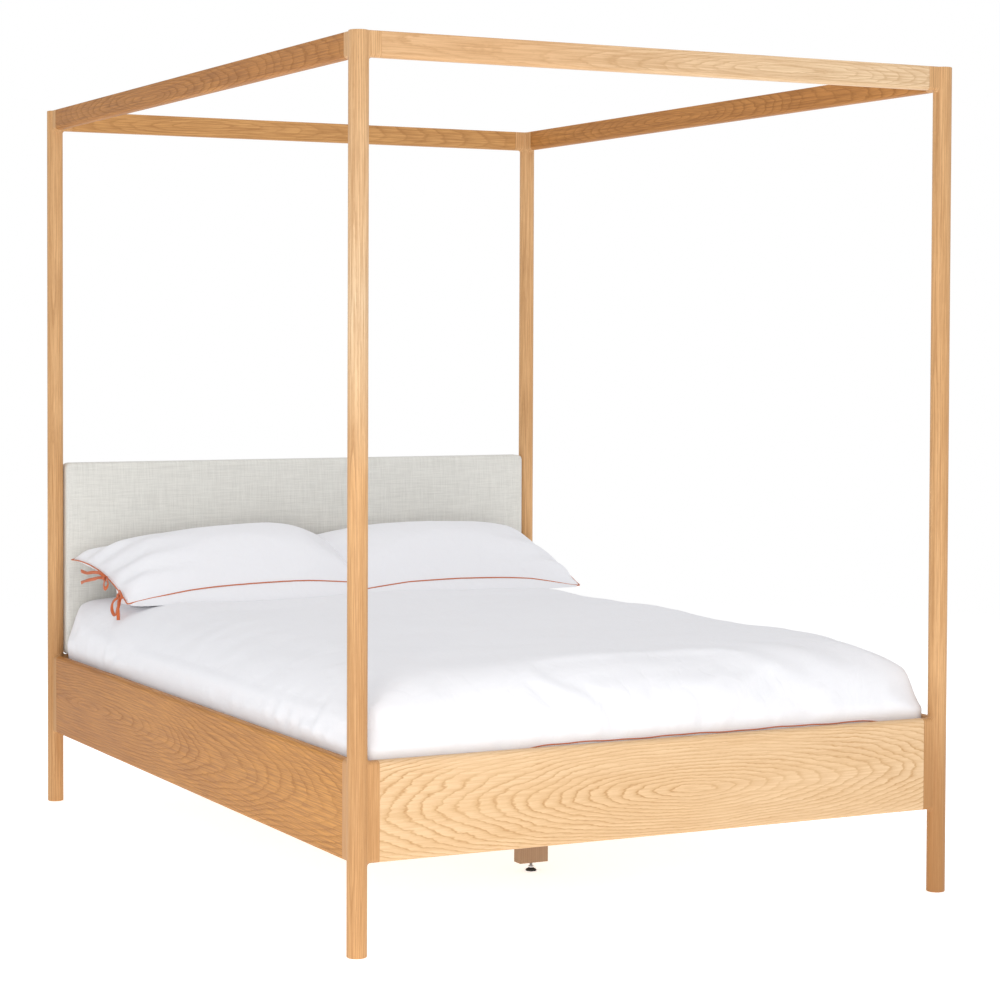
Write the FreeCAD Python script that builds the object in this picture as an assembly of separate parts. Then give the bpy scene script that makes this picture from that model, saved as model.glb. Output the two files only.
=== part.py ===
import FreeCAD, Part
import math
import os

# Four poster canopy bed in oak for a 1500 x 2000 mm mattress, made up with a duvet and two pillows.
# Millimetres. The origin is on the floor under the centre of the bed, +Y runs towards the
# headboard, +X to the right of somebody who looks from the foot to the head, +Z up.

# ------------------------------------------------------------------ driving dimensions
MATTRESS_WIDTH = 1500.0
MATTRESS_LENGTH = 2000.0
MATTRESS_DEPTH = 210.0
MATTRESS_CORNER = 60.0
SIDE_GAP = 12.5               # mattress to side rail
FOOT_GAP = 26.0               # mattress to foot rail
HEAD_GAP = 46.0               # mattress to head rail, which the headboard partly fills

BED_HEIGHT = 2000.0
POST_DIAMETER = 45.0
RAIL_THICKNESS = 27.0
RAIL_UNDERSIDE = 203.0        # floor to the underside of the mattress rails
RAIL_DEPTH = 222.0
CANOPY_DEPTH = 57.0
SHOULDER_REACH = 48.0         # post centre to the end of the shoulders that the rails butt against
SHOULDER_BLEND = 8.0          # concave radius between a shoulder and its post
EDGE_ROUND = 9.0              # long edges of the rails
TOP_ROUND = 2.0               # upper edges of the canopy rails and the posts
SEAM_CHAMFER = 0.8            # broken edge round each rail's end, which shows as a fine seam
POST_FOOT_ROUND = 2.5
POST_SEAM_TURN = 225.0        # turns the cylinder's own seam line away from both shoulders

HEADBOARD_TOP = 983.0
HEADBOARD_THICKNESS = 42.0
HEADBOARD_PROUD = 29.5        # front of the headboard ahead of the rear post centres
HEADBOARD_SIDE_GAP = 1.0
HEADBOARD_CORNER = 12.0
PADDING_FRONT = 20.0          # foam and linen on the front of the board
PADDING_EDGE = 10.0
PADDING_FRONT_ROUND = 8.0
TONGUE_THICKNESS = 10.0
TONGUE_INTO_POST = 7.7
GROOVE_CLEARANCE = 0.2
TONGUE_MARGIN = 25.0          # tongue stops short of the board's ends

SLAT_COUNT = 13
SLAT_WIDTH = 90.0
SLAT_THICKNESS = 18.0
SLAT_EDGE_ROUND = 3.0
SLAT_END_GAP = 2.5            # slat end to side rail
SLAT_RUN = 1950.0             # first slat's centre to the last one's
SLAT_RUN_CENTRE = -10.0
DECK_HEIGHT = 300.0           # top of the slats
LEDGER_WIDTH = 30.0
LEDGER_HEIGHT = 30.0
LEDGER_LENGTH = 2000.0
LEDGER_END_MARGIN = 15.0      # nearest that a slat screw comes to the ledger's end

BEAM_WIDTH = 40.0
BEAM_HEIGHT = 70.0
BEAM_END_GAP = 1.0            # beam's end to the hanger's back
HANGER_SHEET = 3.0
HANGER_WIDTH = 100.0
HANGER_SEAT = 40.0            # how far the hanger reaches under the beam
HANGER_CLEARANCE = 0.3
HANGER_BELOW_SLATS = 2.0
HANGER_SCREW_INSET = 13.0     # screw's centre to the ear's outer edge
HANGER_SCREW_LOW = 14.0       # lower screw above the beam's underside
HANGER_SCREW_HIGH = 16.0      # upper screw below the beam's top
LEG_WIDTH = 80.0
LEG_THICKNESS = 34.0
LEG_EDGE_ROUND = 1.5
LEG_OFFSET = 415.0            # bed centre to each centre leg
LEG_UNDERSIDE = 23.0
LEG_HOUSING = 35.0            # depth of the notch that the beam sits in

GLIDE_PAD_DIAMETER = 28.0
GLIDE_PAD_RIM = 3.5
GLIDE_PAD_HEIGHT = 8.5
GLIDE_NECK_DIAMETER = 13.0
STUD_DIAMETER = 8.0
STUD_BOTTOM = 3.0
STUD_TOP = 52.0
STUD_HEX = 13.0               # across flats
STUD_HEX_HEIGHT = 4.0
STUD_HEX_GAP = 0.3            # hexagon above the pad
STUD_TIP = 1.5                # plain tapered tip above the thread
STUD_TIP_TAPER = 1.2
THREAD_PITCH = 1.25
THREAD_DEPTH = 0.6
RUNNING_CLEARANCE = 0.05
INSERT_DIAMETER = 12.0
INSERT_LENGTH = 15.0
STUD_BORE_TOP = 68.0          # top of the blind hole above the insert
STUD_BORE_SPARE = 2.0         # blind hole wider than the stud

BOLT_DIAMETER = 8.0
BOLT_IN_POST = 38.0
BOLT_HEIGHTS = (232.0, 372.0)
BOLT_HEAD_HEIGHT = 5.5
POCKET_DIAMETER = 35.0
POCKET_DEPTH = 22.0
POCKET_WALL = 30.0            # wood between the rail's end and the pocket
WASHER_THICKNESS = 5.0
WASHER_HEIGHT = 16.0
NUT_FLATS = 13.0
NUT_THICKNESS = 6.5
BOLT_SPARE = 3.0
LEG_BOLT_SPARE = 10.0         # bolt's end beyond the leg, with room for the nut
DOWEL_DIAMETER = 10.0
DOWEL_HALF = 20.0
DOWEL_HEIGHT = 300.0

CAM_DIAMETER = 15.0
CAM_HEIGHT = 13.5
CAM_SETBACK = 34.0            # rail's end to the cam's centre
CAM_PIN_DIAMETER = 7.0
CAM_PIN_IN_POST = 26.0
CAM_AXIS_BELOW_TOP = 12.0
CAM_BELOW_TOP = 4.0           # cam's face below the rail's top face
CAM_SLOT_HALF = 4.5           # cross slot for the driver
CAM_SLOT_WIDTH = 1.6
CAM_SLOT_DEPTH = 2.0
CANOPY_DOWEL_HEIGHT = 1960.0
CANOPY_DOWEL_DIAMETER = 8.0

SCREW_DIAMETER = 4.0
SCREW_HEAD = 8.0
SCREW_HEAD_DEPTH = 3.0
SLAT_SCREW_LENGTH = 38.0
LEDGER_SCREW_LENGTH = 45.0
HANGER_SCREW_LENGTH = 21.0
HOLE_CLEARANCE = 0.1
THROUGH = 1.0                 # how far a cutting shape runs past the face that it opens

DUVET_TOP = 608.0
DUVET_HEM = 398.0
DUVET_SIDE_GAP = 3.5          # hem to side rail
DUVET_FOOT_GAP = 3.0
DUVET_HEAD_GAP = 8.0          # hem to headboard
DUVET_SHOULDER = 440.0        # the hem hangs upright up to here
DUVET_SIDE_ROLL = 200.0       # width over which the duvet falls away at each side
DUVET_FOOT_ROLL = 125.0
DUVET_ROLL_FULLNESS = 0.62    # 0.55 would be a quarter of an ellipse
DUVET_REST = 0.3              # clearance over the mattress
DUVET_LINING = 1.0            # clearance round the mattress
DUVET_INNER_CORNER = 52.0
DUVET_INNER_RIM = 26.0
PRESSED_TOP = 590.0           # duvet pressed down under the pillows
PRESSED_START = 500.0
PRESSED_END = 610.0
PIPING_DIAMETER = 4.0
DUVET_PIPING_Z = 430.0
DUVET_PIPING_SPAN = 1300.0
PIPING_GAP = 0.1              # piping to the cloth that it is sewn on
MATTRESS_RIM_ROUND = 28.0

PILLOW_FRONT = (640.0, 628.0)        # y and z of the front seam at mid length
PILLOW_BACK = (985.0, 722.0)
PILLOW_CROWN = 104.0
PILLOW_BELLY = 38.0
PILLOW_SEAM_HALF = 2.0
PILLOW_PIPING_SHARE = 0.6            # straight part of the front piping, as a share of the pillow
PILLOW_PIPING_GAP = 4.0
# Place along the pillow from -1 to 1, and how full it is there.
PILLOW_FULLNESS = (
    (-1.0, 0.06), (-0.82, 0.62), (-0.45, 0.94), (0.0, 1.0), (0.45, 0.94), (0.82, 0.62), (1.0, 0.06),
)
# Each end of a pillow: x, then y and z of its front seam and of its back seam.
LEFT_PILLOW = (
    (-735.0, (650.0, 614.0), (985.0, 716.0)),
    (0.0, (650.0, 620.0), (800.0, 660.0)),
)
RIGHT_PILLOW = (
    (-50.0, (905.0, 708.0), (985.0, 728.0)),
    (728.0, (650.0, 612.0), (970.0, 700.0)),
)

# ------------------------------------------------------------------ worked out from those
HALF_X = MATTRESS_WIDTH / 2 + SIDE_GAP + RAIL_THICKNESS / 2
HALF_Y = (MATTRESS_LENGTH + FOOT_GAP + HEAD_GAP + RAIL_THICKNESS) / 2
INNER_X = HALF_X - RAIL_THICKNESS / 2
INNER_Y = HALF_Y - RAIL_THICKNESS / 2
RAIL_TOP = RAIL_UNDERSIDE + RAIL_DEPTH
CANOPY_UNDERSIDE = BED_HEIGHT - CANOPY_DEPTH
POST_RADIUS = POST_DIAMETER / 2
MATTRESS_FOOT = -INNER_Y + FOOT_GAP
MATTRESS_HEAD = MATTRESS_FOOT + MATTRESS_LENGTH
MATTRESS_TOP = DECK_HEIGHT + MATTRESS_DEPTH
LEDGER_TOP = DECK_HEIGHT - SLAT_THICKNESS
BEAM_UNDERSIDE = LEDGER_TOP - BEAM_HEIGHT
HEADBOARD_FRONT = HALF_Y - HEADBOARD_PROUD
HEADBOARD_HALF = HALF_X - POST_RADIUS - HEADBOARD_SIDE_GAP

UP = FreeCAD.Vector(0, 0, 1)
CORNERS = {
    "front_left": (-1, -1),
    "front_right": (1, -1),
    "rear_left": (-1, 1),
    "rear_right": (1, 1),
}
SIDES = {"left": -1, "right": 1}
ENDS = {"foot": -1, "head": 1}


# ------------------------------------------------------------------ helpers
def vec(x, y, z=0.0):
    return FreeCAD.Vector(x, y, z)


def block(low, high):
    """Box between two opposite corners."""
    size = high - low
    return Part.makeBox(size.x, size.y, size.z, low)


def rod(start, direction, length, diameter):
    return Part.makeCylinder(diameter / 2, length, start, direction)


def is_along(edge, axis):
    """True for a straight edge that runs along a unit vector."""
    if len(edge.Vertexes) != 2:
        return False
    run = edge.Vertexes[1].Point - edge.Vertexes[0].Point
    return abs(abs(run.dot(axis)) - run.Length) < 1e-6


def round_edges(solid, radius, chosen):
    """Fillet the edges for which chosen(edge) is true."""
    return solid.makeFillet(radius, [edge for edge in solid.Edges if chosen(edge)])


def middle(edge):
    return edge.BoundBox.Center


def at_height(edge, height):
    return abs(middle(edge).z - height) < 1e-6


def round_long_edges(bar, radius, height):
    """Fillet the edges along X that lie at one height."""
    return round_edges(bar, radius, lambda edge: is_along(edge, vec(1, 0)) and at_height(edge, height))


def line(start, end):
    return Part.LineSegment(start, end).toShape()


def arc(start, through, end):
    return Part.Arc(start, through, end).toShape()


def hexagon_bar(start, direction, length, across_flats):
    """Hexagonal prism, for nuts and bolt heads."""
    side = direction.cross(UP)
    if side.Length < 0.5:
        side = vec(1, 0)
    side.normalize()
    other = direction.cross(side)
    radius = across_flats / math.sqrt(3)
    corners = []
    for step in range(7):
        angle = step * math.pi / 3
        corners.append(start + side * (radius * math.cos(angle)) + other * (radius * math.sin(angle)))
    return Part.Face(Part.makePolygon(corners)).extrude(direction * length)


def screw(head_centre, direction, length, extra=0.0):
    """Countersunk wood screw, driven along direction; extra makes its pilot hole instead."""
    head = Part.makeCone(
        SCREW_HEAD / 2 + extra, SCREW_DIAMETER / 2 + extra, SCREW_HEAD_DEPTH, head_centre, direction
    )
    return head.fuse(rod(head_centre, direction, length + extra, SCREW_DIAMETER + 2 * extra))


def cut_all(solid, tools):
    for tool in tools:
        if solid.BoundBox.intersect(tool.BoundBox):
            solid = solid.cut(tool)
    return solid


def export(name, solids):
    """Write one node; a list of separate solids becomes one compound."""
    shape = solids if isinstance(solids, Part.Shape) else Part.makeCompound(solids)
    if not shape.isValid():
        raise ValueError(name + " is not a valid shape")
    shape.exportStep("parts/" + name + ".step")


# ------------------------------------------------------------------ where rails meet posts
def corner_joints():
    """Each place where a rail meets a post: the post's centre, the way the rail runs, the way inside."""
    joints = []
    for sign_x, sign_y in CORNERS.values():
        centre = vec(sign_x * HALF_X, sign_y * HALF_Y)
        joints.append((centre, vec(-sign_x, 0), vec(0, -sign_y)))
        joints.append((centre, vec(0, -sign_y), vec(-sign_x, 0)))
    return joints


def rail_bolt(centre, along, height, extra=0.0):
    start = centre + UP * height + along * (SHOULDER_REACH - BOLT_IN_POST)
    length = BOLT_IN_POST + POCKET_WALL + WASHER_THICKNESS + NUT_THICKNESS + BOLT_SPARE
    return rod(start, along, length, BOLT_DIAMETER + 2 * extra)


def rail_pocket(centre, along, inside, height):
    """Round pocket bored from the rail's inner face for the nut and its half moon washer."""
    axis_point = centre + along * (SHOULDER_REACH + POCKET_WALL + POCKET_DIAMETER / 2) + UP * height
    bottom = axis_point + inside * (RAIL_THICKNESS / 2 - POCKET_DEPTH)
    return rod(bottom, inside, POCKET_DEPTH + THROUGH, POCKET_DIAMETER)


def half_moon_washer(centre, along, inside, height):
    """Segment washer: curved against the pocket's wall, flat under the nut."""
    pocket_axis = centre + along * (SHOULDER_REACH + POCKET_WALL + POCKET_DIAMETER / 2) + UP * height
    radius = POCKET_DIAMETER / 2 - HOLE_CLEARANCE
    chord = radius - WASHER_THICKNESS
    half_chord = math.sqrt(radius * radius - chord * chord)
    base = pocket_axis - inside * (WASHER_HEIGHT / 2)
    top = base - along * chord + UP * half_chord
    bottom = base - along * chord - UP * half_chord
    outline = Part.Wire([arc(top, base - along * radius, bottom), line(bottom, top)])
    washer = Part.Face(outline).extrude(inside * WASHER_HEIGHT)
    return washer.cut(rail_bolt(centre, along, height, HOLE_CLEARANCE))


def rail_nut(centre, along, height):
    setback = SHOULDER_REACH + POCKET_WALL + WASHER_THICKNESS + HOLE_CLEARANCE
    start = centre + UP * height + along * setback
    nut = hexagon_bar(start, along, NUT_THICKNESS, NUT_FLATS)
    return nut.cut(rail_bolt(centre, along, height, HOLE_CLEARANCE / 2))


def joint_dowel(centre, along, height, diameter, extra=0.0):
    start = centre + UP * height + along * (SHOULDER_REACH - DOWEL_HALF - extra)
    return rod(start, along, 2 * (DOWEL_HALF + extra), diameter + 2 * extra)


def cam_pin(centre, along, extra=0.0):
    height = BED_HEIGHT - CAM_AXIS_BELOW_TOP
    start = centre + UP * height + along * (SHOULDER_REACH - CAM_PIN_IN_POST)
    return rod(start, along, CAM_PIN_IN_POST + CAM_SETBACK, CAM_PIN_DIAMETER + 2 * extra)


def cam_disc(centre, along, extra=0.0):
    """Cam that draws the pin tight, let into the rail's top face; extra makes its hole instead."""
    bottom = BED_HEIGHT - CAM_BELOW_TOP - CAM_HEIGHT - extra
    foot = centre + along * (SHOULDER_REACH + CAM_SETBACK) + UP * bottom
    height = CAM_HEIGHT if extra == 0 else BED_HEIGHT + THROUGH - bottom
    return rod(foot, UP, height, CAM_DIAMETER + 2 * extra)


def cam_with_slot(centre, along):
    disc = cam_disc(centre, along).cut(cam_pin(centre, along, HOLE_CLEARANCE))
    top = centre + along * (SHOULDER_REACH + CAM_SETBACK) + UP * (BED_HEIGHT - CAM_BELOW_TOP)
    for half_x, half_y in ((CAM_SLOT_HALF, CAM_SLOT_WIDTH / 2), (CAM_SLOT_WIDTH / 2, CAM_SLOT_HALF)):
        corner = vec(half_x, half_y)
        disc = disc.cut(block(top - corner - UP * CAM_SLOT_DEPTH, top + corner + UP))
    return disc


def rail_joint_cuts():
    """All the wood removed for the fixings at mattress level and at canopy level."""
    cuts = []
    for centre, along, inside in corner_joints():
        for height in BOLT_HEIGHTS:
            cuts.append(rail_bolt(centre, along, height, HOLE_CLEARANCE))
            cuts.append(rail_pocket(centre, along, inside, height))
        cuts.append(joint_dowel(centre, along, DOWEL_HEIGHT, DOWEL_DIAMETER, HOLE_CLEARANCE))
        cuts.append(cam_pin(centre, along, HOLE_CLEARANCE))
        cuts.append(cam_disc(centre, along, HOLE_CLEARANCE))
        cuts.append(joint_dowel(centre, along, CANOPY_DOWEL_HEIGHT, CANOPY_DOWEL_DIAMETER, HOLE_CLEARANCE))
    return cuts


# ------------------------------------------------------------------ posts and rails
def shoulder(bottom, top, angle, top_round):
    """Flat shoulder that stands out of a post, with the rail's own section."""
    bar = block(vec(0, -RAIL_THICKNESS / 2, bottom), vec(SHOULDER_REACH, RAIL_THICKNESS / 2, top))
    bar = round_long_edges(bar, EDGE_ROUND, bottom)
    if top_round:
        bar = round_long_edges(bar, top_round, top)
    bar.rotate(vec(0, 0), UP, angle)
    return bar


def meets_post(edge):
    """True for a level edge where a shoulder's flat top or underside runs into the round of the post."""
    on_post = hasattr(edge.Curve, "Radius") and abs(edge.Curve.Radius - POST_RADIUS) < 1e-6
    if not on_post or len(edge.Vertexes) != 2:
        return False
    one, two = [vertex.Point.z for vertex in edge.Vertexes]
    levels = (RAIL_UNDERSIDE, RAIL_TOP, CANOPY_UNDERSIDE)
    return abs(one - two) < 1e-6 and min(abs(one - level) for level in levels) < 1e-6


def on_top_outline(edge):
    """True for the post's top outline, except where the canopy rails butt against it."""
    at_rail = max(middle(edge).x, middle(edge).y) > SHOULDER_REACH - 1
    return edge.BoundBox.ZMin > BED_HEIGHT - 1e-6 and not at_rail


def post(sign_x, sign_y, cuts):
    """Turned post with two shoulders at each rail level, blended into the round."""
    shaft = Part.makeCylinder(POST_RADIUS, BED_HEIGHT)
    shaft = round_edges(
        shaft, POST_FOOT_ROUND, lambda edge: at_height(edge, 0) and edge.Length > POST_DIAMETER
    )
    shaft.rotate(vec(0, 0), UP, POST_SEAM_TURN)
    for angle in (0, 90):
        shaft = shaft.fuse(shoulder(RAIL_UNDERSIDE, RAIL_TOP, angle, EDGE_ROUND))
        shaft = shaft.fuse(shoulder(CANOPY_UNDERSIDE, BED_HEIGHT, angle, 0))
    shaft = round_edges(shaft.removeSplitter(), SHOULDER_BLEND, meets_post)
    shaft = round_edges(shaft, TOP_ROUND, on_top_outline)
    turns = {(-1, -1): 0, (1, -1): 90, (1, 1): 180, (-1, 1): 270}
    shaft.rotate(vec(0, 0), UP, turns[(sign_x, sign_y)])
    shaft.translate(vec(sign_x * HALF_X, sign_y * HALF_Y))
    shaft = cut_all(shaft, cuts)
    if sign_y > 0:
        shaft = shaft.cut(tongue(GROOVE_CLEARANCE))
    return shaft


def rail(span, bottom, top, top_round):
    """Rail along X, centred on the origin, with rounded long edges and softened ends."""
    bar = block(vec(-span / 2, -RAIL_THICKNESS / 2, bottom), vec(span / 2, RAIL_THICKNESS / 2, top))
    bar = round_long_edges(bar, EDGE_ROUND, bottom)
    bar = round_long_edges(bar, top_round, top)
    ends = [edge for edge in bar.Edges if abs(abs(middle(edge).x) - span / 2) < 1e-6]
    return bar.makeChamfer(SEAM_CHAMFER, ends)


def placed_rail(bar, offset_x, offset_y, lengthways):
    if lengthways:
        bar.rotate(vec(0, 0), UP, 90)
    bar.translate(vec(offset_x, offset_y))
    return bar


def make_rails(cuts):
    across = 2 * (HALF_X - SHOULDER_REACH)
    lengthways = 2 * (HALF_Y - SHOULDER_REACH)
    low_rail = (RAIL_UNDERSIDE, RAIL_TOP, EDGE_ROUND)
    canopy_rail = (CANOPY_UNDERSIDE, BED_HEIGHT, TOP_ROUND)
    rails = {}
    for name, sign in ENDS.items():
        place = (0, sign * HALF_Y, False)
        rails[name + "_rail"] = placed_rail(rail(across, *low_rail), *place)
        rails["canopy_rail_" + name] = placed_rail(rail(across, *canopy_rail), *place)
    for name, sign in SIDES.items():
        place = (sign * HALF_X, 0, True)
        rails["side_rail_" + name] = placed_rail(rail(lengthways, *low_rail), *place)
        rails["canopy_rail_" + name] = placed_rail(rail(lengthways, *canopy_rail), *place)
    return {name: cut_all(bar, cuts) for name, bar in rails.items()}


# ------------------------------------------------------------------ headboard
def tongue(extra=0.0):
    """Long tongue through the board that slides into a groove in each rear post."""
    reach = HEADBOARD_HALF + HEADBOARD_SIDE_GAP + TONGUE_INTO_POST + extra
    core_middle = HEADBOARD_FRONT + (PADDING_FRONT + HEADBOARD_THICKNESS) / 2
    half = TONGUE_THICKNESS / 2 + extra
    low = vec(-reach, core_middle - half, RAIL_TOP + TONGUE_MARGIN - extra)
    high = vec(reach, core_middle + half, HEADBOARD_TOP - TONGUE_MARGIN + extra)
    return block(low, high)


def headboard():
    """Stiff board with tongues, and the padded linen cover that wraps its front and edges."""
    back = HEADBOARD_FRONT + HEADBOARD_THICKNESS
    board = block(
        vec(-HEADBOARD_HALF + PADDING_EDGE, HEADBOARD_FRONT + PADDING_FRONT, RAIL_TOP + PADDING_EDGE),
        vec(HEADBOARD_HALF - PADDING_EDGE, back, HEADBOARD_TOP - PADDING_EDGE),
    )
    cover = block(vec(-HEADBOARD_HALF, HEADBOARD_FRONT, RAIL_TOP), vec(HEADBOARD_HALF, back, HEADBOARD_TOP))
    cover = round_edges(cover, HEADBOARD_CORNER, lambda edge: is_along(edge, vec(0, 1)))
    front = [edge for edge in cover.Edges if abs(middle(edge).y - HEADBOARD_FRONT) < 1e-6]
    cover = cover.makeFillet(PADDING_FRONT_ROUND, front)
    core = board.fuse(tongue()).removeSplitter()
    padding = cover.cut(board).cut(tongue())
    return core, padding


# ------------------------------------------------------------------ mattress support
def slat_centres():
    pitch = SLAT_RUN / (SLAT_COUNT - 1)
    return [SLAT_RUN_CENTRE - SLAT_RUN / 2 + pitch * number for number in range(SLAT_COUNT)]


def slat_screws(extra=0.0):
    """One screw down through each slat end into the ledger below it."""
    screws = []
    offset = INNER_X - LEDGER_WIDTH / 2
    for centre in slat_centres():
        reachable = max(LEDGER_END_MARGIN - LEDGER_LENGTH / 2, centre)
        for sign in SIDES.values():
            head = vec(sign * offset, reachable, DECK_HEIGHT)
            screws.append(screw(head, vec(0, 0, -1), SLAT_SCREW_LENGTH, extra))
    return screws


def ledger_screws(extra=0.0):
    """Screws through each ledger into its side rail, between the slats."""
    screws = []
    middles = [(a + b) / 2 for a, b in zip(slat_centres(), slat_centres()[1:])]
    for place in middles[::2]:
        for sign in SIDES.values():
            head = vec(sign * (INNER_X - LEDGER_WIDTH), place, LEDGER_TOP - LEDGER_HEIGHT / 2)
            screws.append(screw(head, vec(sign, 0), LEDGER_SCREW_LENGTH, extra))
    return screws


def slats():
    holes = slat_screws(HOLE_CLEARANCE)
    reach = INNER_X - SLAT_END_GAP
    made = []
    for centre in slat_centres():
        slat = block(
            vec(-reach, centre - SLAT_WIDTH / 2, LEDGER_TOP), vec(reach, centre + SLAT_WIDTH / 2, DECK_HEIGHT)
        )
        slat = round_edges(slat, SLAT_EDGE_ROUND, lambda edge: is_along(edge, vec(1, 0)))
        made.append(cut_all(slat, holes))
    return made


def ledger(sign, holes):
    inner = sign * (INNER_X - LEDGER_WIDTH)
    outer = sign * INNER_X
    bar = block(
        vec(min(inner, outer), -LEDGER_LENGTH / 2, LEDGER_TOP - LEDGER_HEIGHT),
        vec(max(inner, outer), LEDGER_LENGTH / 2, LEDGER_TOP),
    )
    return cut_all(bar, holes)


def leg_bolt(offset, extra=0.0):
    """Bolt through the leg's two cheeks and the beam between them."""
    height = BEAM_UNDERSIDE + LEG_HOUSING / 2
    length = LEG_WIDTH + LEG_BOLT_SPARE
    return rod(vec(-LEG_WIDTH / 2, offset, height), vec(1, 0), length, BOLT_DIAMETER + 2 * extra)


def leg_bolt_with_head(offset):
    height = BEAM_UNDERSIDE + LEG_HOUSING / 2
    head = hexagon_bar(vec(-LEG_WIDTH / 2, offset, height), vec(-1, 0), BOLT_HEAD_HEIGHT, NUT_FLATS)
    return leg_bolt(offset).fuse(head)


def leg_nut(offset):
    height = BEAM_UNDERSIDE + LEG_HOUSING / 2
    nut = hexagon_bar(vec(LEG_WIDTH / 2, offset, height), vec(1, 0), NUT_THICKNESS, NUT_FLATS)
    return nut.cut(leg_bolt(offset, HOLE_CLEARANCE / 2))


def centre_beam():
    reach = INNER_Y - HANGER_SHEET - BEAM_END_GAP
    beam = block(vec(-BEAM_WIDTH / 2, -reach, BEAM_UNDERSIDE), vec(BEAM_WIDTH / 2, reach, LEDGER_TOP))
    return cut_all(beam, [leg_bolt(sign * LEG_OFFSET, HOLE_CLEARANCE) for sign in ENDS.values()])


def hanger_screw_places(sign):
    """Two screws in each ear of a beam hanger."""
    reach = HANGER_WIDTH / 2 - HANGER_SCREW_INSET
    heights = (BEAM_UNDERSIDE + HANGER_SCREW_LOW, LEDGER_TOP - HANGER_SCREW_HIGH)
    return [vec(side * reach, sign * (INNER_Y - HANGER_SHEET), z) for side in (-1, 1) for z in heights]


def hanger_screws(sign, extra=0.0):
    return [screw(place, vec(0, sign), HANGER_SCREW_LENGTH, extra) for place in hanger_screw_places(sign)]


def beam_hanger(sign):
    """Folded steel seat that carries one end of the centre beam."""
    bottom = BEAM_UNDERSIDE - HANGER_SHEET - HANGER_CLEARANCE
    top = LEDGER_TOP - HANGER_BELOW_SLATS
    wall = sign * INNER_Y
    face = sign * (INNER_Y - HANGER_SHEET)
    seat_end = sign * (INNER_Y - HANGER_SEAT)
    inner = BEAM_WIDTH / 2 + HANGER_CLEARANCE

    def sheet(x_low, x_high, y_one, y_two, z_low, z_high):
        return block(vec(x_low, min(y_one, y_two), z_low), vec(x_high, max(y_one, y_two), z_high))

    hanger = sheet(-HANGER_WIDTH / 2, HANGER_WIDTH / 2, wall, face, bottom, top)
    outer = inner + HANGER_SHEET
    hanger = hanger.fuse(sheet(-outer, outer, wall, seat_end, bottom, bottom + HANGER_SHEET))
    for side in (-1, 1):
        one = side * inner
        two = side * outer
        hanger = hanger.fuse(sheet(min(one, two), max(one, two), wall, seat_end, bottom, top))
    hanger = hanger.removeSplitter()
    return cut_all(hanger, hanger_screws(sign, HOLE_CLEARANCE))


def centre_leg(offset):
    """Leg block with a housing for the beam on top and a threaded insert's hole below."""
    leg = block(
        vec(-LEG_WIDTH / 2, offset - LEG_THICKNESS / 2, LEG_UNDERSIDE),
        vec(LEG_WIDTH / 2, offset + LEG_THICKNESS / 2, BEAM_UNDERSIDE + LEG_HOUSING),
    )
    leg = round_edges(leg, LEG_EDGE_ROUND, lambda edge: is_along(edge, UP))
    inner = BEAM_WIDTH / 2 + HOLE_CLEARANCE
    housing = block(
        vec(-inner, offset - LEG_THICKNESS, BEAM_UNDERSIDE),
        vec(inner, offset + LEG_THICKNESS, BEAM_UNDERSIDE + 2 * LEG_HOUSING),
    )
    foot = vec(0, offset, LEG_UNDERSIDE)
    leg = leg.cut(housing).cut(leg_bolt(offset, HOLE_CLEARANCE))
    leg = leg.cut(rod(foot, UP, INSERT_LENGTH, INSERT_DIAMETER))
    return leg.cut(rod(foot, UP, STUD_BORE_TOP - LEG_UNDERSIDE, STUD_DIAMETER + STUD_BORE_SPARE))


# ------------------------------------------------------------------ levelling feet
def threaded_insert(offset):
    foot = vec(0, offset, LEG_UNDERSIDE)
    sleeve = rod(foot, UP, INSERT_LENGTH, INSERT_DIAMETER)
    return sleeve.cut(rod(foot, UP, INSERT_LENGTH, STUD_DIAMETER + 2 * RUNNING_CLEARANCE))


def glide_stud(offset):
    """Stud with a plain end in the pad, a hexagon for the spanner, and a V thread drawn as rings."""
    radius = STUD_DIAMETER / 2
    hex_bottom = GLIDE_PAD_HEIGHT + STUD_HEX_GAP
    thread_start = hex_bottom + STUD_HEX_HEIGHT
    outline = [vec(0, 0, STUD_BOTTOM), vec(radius, 0, STUD_BOTTOM), vec(radius, 0, thread_start)]
    count = int((STUD_TOP - thread_start - STUD_TIP) / THREAD_PITCH)
    for ring in range(count):
        low = thread_start + ring * THREAD_PITCH
        outline.append(vec(radius - THREAD_DEPTH, 0, low + THREAD_PITCH / 2))
        outline.append(vec(radius, 0, low + THREAD_PITCH))
    outline.append(vec(radius - STUD_TIP_TAPER, 0, STUD_TOP))
    outline.append(vec(0, 0, STUD_TOP))
    outline.append(outline[0])
    stud = Part.Face(Part.makePolygon(outline)).revolve(vec(0, 0), UP, 360)
    stud = stud.fuse(hexagon_bar(vec(0, 0, hex_bottom), UP, STUD_HEX_HEIGHT, STUD_HEX))
    stud.translate(vec(0, offset))
    return stud


def glide_pad(offset):
    """Round pad with a coned top and a socket for the stud's plain end."""
    rim = GLIDE_PAD_DIAMETER / 2
    outline = [
        vec(0, 0),
        vec(rim - 1, 0),
        vec(rim, 0, 1),
        vec(rim, 0, GLIDE_PAD_RIM),
        vec(GLIDE_NECK_DIAMETER / 2, 0, GLIDE_PAD_HEIGHT),
        vec(0, 0, GLIDE_PAD_HEIGHT),
        vec(0, 0),
    ]
    pad = Part.Face(Part.makePolygon(outline)).revolve(vec(0, 0), UP, 360)
    socket_floor = vec(0, 0, STUD_BOTTOM - RUNNING_CLEARANCE)
    pad = pad.cut(rod(socket_floor, UP, GLIDE_PAD_HEIGHT, STUD_DIAMETER + 2 * RUNNING_CLEARANCE))
    pad.translate(vec(0, offset))
    return pad


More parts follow.
